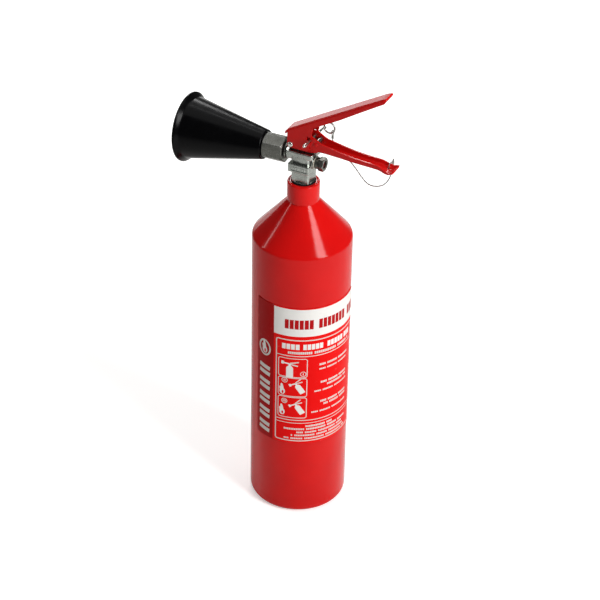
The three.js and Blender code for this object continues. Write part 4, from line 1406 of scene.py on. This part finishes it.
@dataclass
class Grips:
    """The fixed carrying handle and the operating lever, both folded from 1.6 mm steel."""

    sheet: float = 1.6
    pivot: Flat = (-11.8, 452)
    rivet: Flat = (16.4, 458.2)
    pin: Flat = (10, 461.8)
    handle_half: float = 7.5
    lanyard_hole: Flat = (95, 3.2)
    pin_hole: float = 2.2
    channel: tuple[tuple[float, float, float, float], ...] = (
        (19, 15, 448.9, 13.3), (24, 15, 449, 10.9), (33, 15, 448.8, 9.5), (45, 15, 448.3, 7.9),
        (56, 15, 447.6, 7.1), (67, 15, 447.2, 6.6), (78, 15, 447, 6.3), (87, 15.2, 446.7, 6),
        (91, 16, 445.9, 5.4), (95, 17.6, 445, 4.5), (99, 19.2, 445.1, 3.6),
        (102.4, 19.6, 446.6, 2.7), (104.4, 18.8, 447.6, 2.4),
    )
    lever_half: float = 9.4
    slope: float = 0.587
    lever_top: float = 478.2
    tip: float = 94.0
    travel: float = 7.0

    def top(self, x: float, depth: float = 0.0) -> float:
        """The height of the lever's top at x, moved down square to it by a depth."""
        return self.lever_top + self.slope * x - depth * math.hypot(1, self.slope)

    def section(self, width: float, floor: float, height: float) -> list[Flat]:
        """One section of the channel.

        Args:
            width: its width in mm.
            floor: its floor's height in mm.
            height: how high its walls are in mm.

        Returns:
            Its outer face from rim to rim, as (y, z) in mm.
        """
        half, fold = width / 2, min(3.2, height - 0.1)
        left = [(-half, floor + height), *circle_arc(-half + fold, floor + fold, fold, 180, 270, 6)]
        right = [(-y, z) for y, z in reversed(left)]
        return left + right

    def handle(self) -> bpy.types.Object:
        """Folds the handle's channel and joins its two cheeks.

        Returns:
            The handle.
        """
        rows = [[(x, y, z) for y, z in self.section(width, floor, height)]
                for x, width, floor, height in self.channel]
        piece = sheet_metal("carry_channel", rows)
        bpy.ops.mesh.select_all(action="SELECT")
        bpy.ops.mesh.normals_make_consistent(inside=False)
        activate(piece)
        modify(piece, "SOLIDIFY", thickness=self.sheet * MM, offset=self.side_inward(piece))
        outline = [
            (-14.8, 447.1), (8, 447), (14, 447.7), (18.8, 449.2), (19.2, 453.6), (24, 453.6),
            (24, 459.8), (21.2, 461), (17.2, 463.3), *circle_arc(11, 463.6, 2.6, 60, 90, 4),
            (-7, 466.2), (-14.8, 463),
        ]
        close(piece)
        for sign in (-1, 1):
            low, high = sorted((sign * self.handle_half, sign * (self.handle_half - self.sheet)))
            combine(piece, plate("cheek", outline, low, high), "UNION")
        combine(piece, rod_through("pin_hole", *self.pin, self.pin_hole), "DIFFERENCE")
        hole = Axis((*self.lanyard_hole, 0), (0, 0, 1), (1, 0, 0))
        combine(piece, turned("lanyard_hole", hole, rod(1.5, 435, 455), 24), "DIFFERENCE")
        close(piece)
        soften(piece, 0.15, 2, 60)
        return close(piece, 38)

    def side_inward(self, piece: bpy.types.Object) -> float:
        """Which way Solidify has to grow so that the sheet's thickness lies inside the channel."""
        face = min(piece.data.polygons, key=lambda f: abs(f.center.y) + f.center.z)
        return -1.0 if face.normal.z < 0 else 1.0

    def lever(self) -> bpy.types.Object:
        """Folds the lever: the outline, its rounded folds, its tip and its hollow.

        Returns:
            The lever.
        """
        tip, half = self.tip, self.lever_half
        outline = [
            (-15.4, 449.3), (-14.6, 448.5), (8, 448.5), (9.1, 449.6), (11.3, 460), (12.7, 472),
            *circle_arc(17.2, 474.6, 4.4, 172, 120, 5), (44, self.top(44, 7.4)),
            (66, self.top(66, 6.1)), (86, self.top(86, 5.1)), (tip - 1.5, self.top(tip - 1.5, 4.9)),
            (tip + 0.4, self.top(tip) - 3), (tip - 0.9, self.top(tip) - 1.3),
            (tip - 3, self.top(tip - 3, 0.4)), (tip - 6, self.top(tip - 6)),
            (-15.4, self.top(-15.4)),
        ]
        piece = plate("lever_fold", outline, -half, half)
        activate(piece)
        bpy.ops.object.mode_set(mode="EDIT")
        pick(Part.EDGE, lambda c: abs(abs(c.y / MM) - half) < 0.01
             and -15 < c.x / MM < tip - 0.5 and abs(c.z / MM - self.top(c.x / MM)) < 2)
        bpy.ops.mesh.bevel(offset=2.2 * MM, segments=6, affect="EDGES")
        close(piece)
        angle = math.atan(self.slope)
        length = (tip + 2) / math.cos(angle)
        plan = [(-60, -half), *circle_arc(length - 7.5, -half + 7.5, 7.5, -90, 0, 8),
                *circle_arc(length - 7.5, half - 7.5, 7.5, 0, 90, 8), (-60, half)]
        keeper = plate("lever_plan", plan, -60, 10, standing=True)
        activate(keeper)
        keeper.matrix_world = (Matrix.Translation((0, 0, self.lever_top * MM))
                               @ Matrix.Rotation(-angle, 4, "Y"))
        close(keeper)
        combine(piece, keeper, "INTERSECT")
        end = tip - 2.6
        hollow = plate("lever_hollow", [
            (-40, self.top(-40, self.sheet)), (-40, 420), (end, 420),
            (end, self.top(end, self.sheet))], self.sheet - half, half - self.sheet)
        combine(piece, hollow, "DIFFERENCE")
        angle = math.radians(self.travel)
        dx, dz = self.pin[0] - self.pivot[0], self.pin[1] - self.pivot[1]
        passed = (self.pivot[0] + dx * math.cos(angle) - dz * math.sin(angle),
                  self.pivot[1] + dx * math.sin(angle) + dz * math.cos(angle))
        lean = math.degrees(math.atan2(passed[1] - self.pin[1], passed[0] - self.pin[0]))
        slot = plate("pin_slot", [
            *circle_arc(*self.pin, self.pin_hole, lean + 90, lean + 270, 12),
            *circle_arc(*passed, self.pin_hole, lean - 90, lean + 90, 12)], -20, 20)
        combine(piece, slot, "DIFFERENCE")
        lip = plate("lever_lip", [
            (-13, self.top(-13, 0.3)), (-16, 468.2), (-17.9, 466.4), (-18.5, 464.4),
            (-17.9, 463.2), (-16.8, 463.5), (-16.7, 465), (-15.2, 466.6),
            (-13, self.top(-13, 1.6))], 0.5 - half, half - 0.5)
        combine(piece, lip, "UNION")
        close(piece)
        soften(piece, 0.3, 2, 50)
        return close(piece, 38)

    def headed(self, name: str, place: Flat, shank: float, head: float, grip: float,
               rise: float) -> bpy.types.Object:
        """A rivet along Y with two domed heads.

        Args:
            name: its name.
            place: its axis as (x, z) in mm.
            shank: the shank's radius in mm.
            head: the heads' radius in mm.
            grip: how far out the heads sit in mm.
            rise: how high the heads are in mm.

        Returns:
            The rivet.
        """
        dome = [(head * math.cos(a), grip + rise * math.sin(a))
                for a in (math.radians(15 * k) for k in range(7))]
        return turned(name, across(*place), [
            *reversed([(r, -y) for r, y in dome]), (shank, -grip), (shank, grip), *dome], 40)

    def build(self) -> None:
        """Makes both grips and their rivets."""
        paint = GRIP_ENAMEL.make()
        dress(self.handle(), paint, "root", "red_paint", "carry_handle")
        dress(self.lever(), paint, "lever", "red_paint", "operating_lever")
        dress(self.headed("pivot", self.pivot, 1.9, 3, 9.7, 1.3), BRIGHT.make(), "root",
              "steel", "pivot_rivet")
        dress(self.headed("handle_rivet", self.rivet, 1.5, 2.4, 7.8, 0.6), paint, "root",
              "red_paint", "rear_rivet")


@dataclass
class SafetyPin:
    """The safety pin, its flat eye and its pull ring."""

    place: Flat = (10, 461.8)
    shank: Profile = ((0, -22.6, 0), (1.2, -22.2, 0), (1.9, -21, 0), (1.9, 10.2, 0),
                      (3.2, 10.2, 0.3), (3.2, 11.6, 0.3), (1.9, 11.6, 0), (1.9, 23, 0), (0, 23, 0))
    eye: float = 25.5
    eye_radius: float = 3.2
    eye_half: float = 1.4
    eye_bore: float = 1.45
    neck: Flat = (1.9, 21.6)
    ring_radius: float = 6.2
    wire: float = 1.0

    def build(self) -> None:
        """Turns the pin, presses its eye and bends its ring."""
        x, z = self.place
        half, foot = self.neck
        finish = BRIGHT.make()
        pin = turned("safety_pin_shank", across(x, z), rounded(self.shank), 40)
        tab = plate("pin_eye", [(x - half, foot), (x + half, foot),
                                *circle_arc(x, self.eye, self.eye_radius, -40, 220, 22)],
                    z - self.eye_half, z + self.eye_half, standing=True)
        combine(tab, turned("eye_hole", Axis((x, self.eye, 0), (0, 0, 1), (1, 0, 0)),
                            rod(self.eye_bore, z - 4, z + 4), 24), "DIFFERENCE")
        soften(tab, 0.25)
        dress(pin, finish, "pin", "steel", "safety_pin")
        dress(close(tab), finish, "pin", "steel", "safety_pin")
        ring = start("pull_ring_wire", bpy.ops.mesh.primitive_torus_add,
                     location=Vector((x + self.ring_radius, self.eye, z)) * MM,
                     rotation=(math.pi / 2, 0, 0), major_segments=72, minor_segments=16,
                     major_radius=self.ring_radius * MM, minor_radius=self.wire * MM)
        dress(close(ring), WIRE.make(), "ring", "steel", "pull_ring")


@dataclass
class InnerParts:
    """The inner parts, which keep the CAD's own shapes."""

    spring_foot: float = 415.3
    stem_travel: float = 3.0

    def build(self) -> None:
        """Gives every part that still shows its own shape a finish."""
        finishes = {
            "valve_stem": BRIGHT, "seat_washer": NYLON, "stem_spring": WIRE,
            "spring_retainer": BRASS, "stem_o_ring": RUBBER, "gland_nut": BRASS,
            "neck_seal": RUBBER, "tube_adapter": BRASS, "siphon_tube": NYLON,
            "burst_washer": NYLON, "outlet_spigot": ZINC, "horn_nozzle": BRASS,
            "lanyard_pin_eye": WIRE, "lanyard_handle_eye": WIRE,
            "lanyard_pin_ferrule": ZINC, "lanyard_handle_ferrule": ZINC,
        }
        made = {finish.name: finish.make() for finish in finishes.values()}
        for name, finish in finishes.items():
            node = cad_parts[name]
            for k in range(len(node.data.materials)):
                node.data.materials[k] = made[finish.name]
            LOG.info("%s keeps its own shape", name)
        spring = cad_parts["stem_spring"]
        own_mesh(spring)


def main() -> None:
    """Builds everything in order."""
    logging.basicConfig(level=logging.INFO, format="%(message)s")
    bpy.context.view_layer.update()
    Studio().build()
    Lanyard().build()
    for assembly in (Cylinder(), InstructionLabel(), Valve(), BurstPlug(), HornAssembly(),
                     Grips(), SafetyPin(), InnerParts()):
        LOG.info("-- %s", type(assembly).__name__)
        assembly.build()


if __name__ == "__main__":
    main()
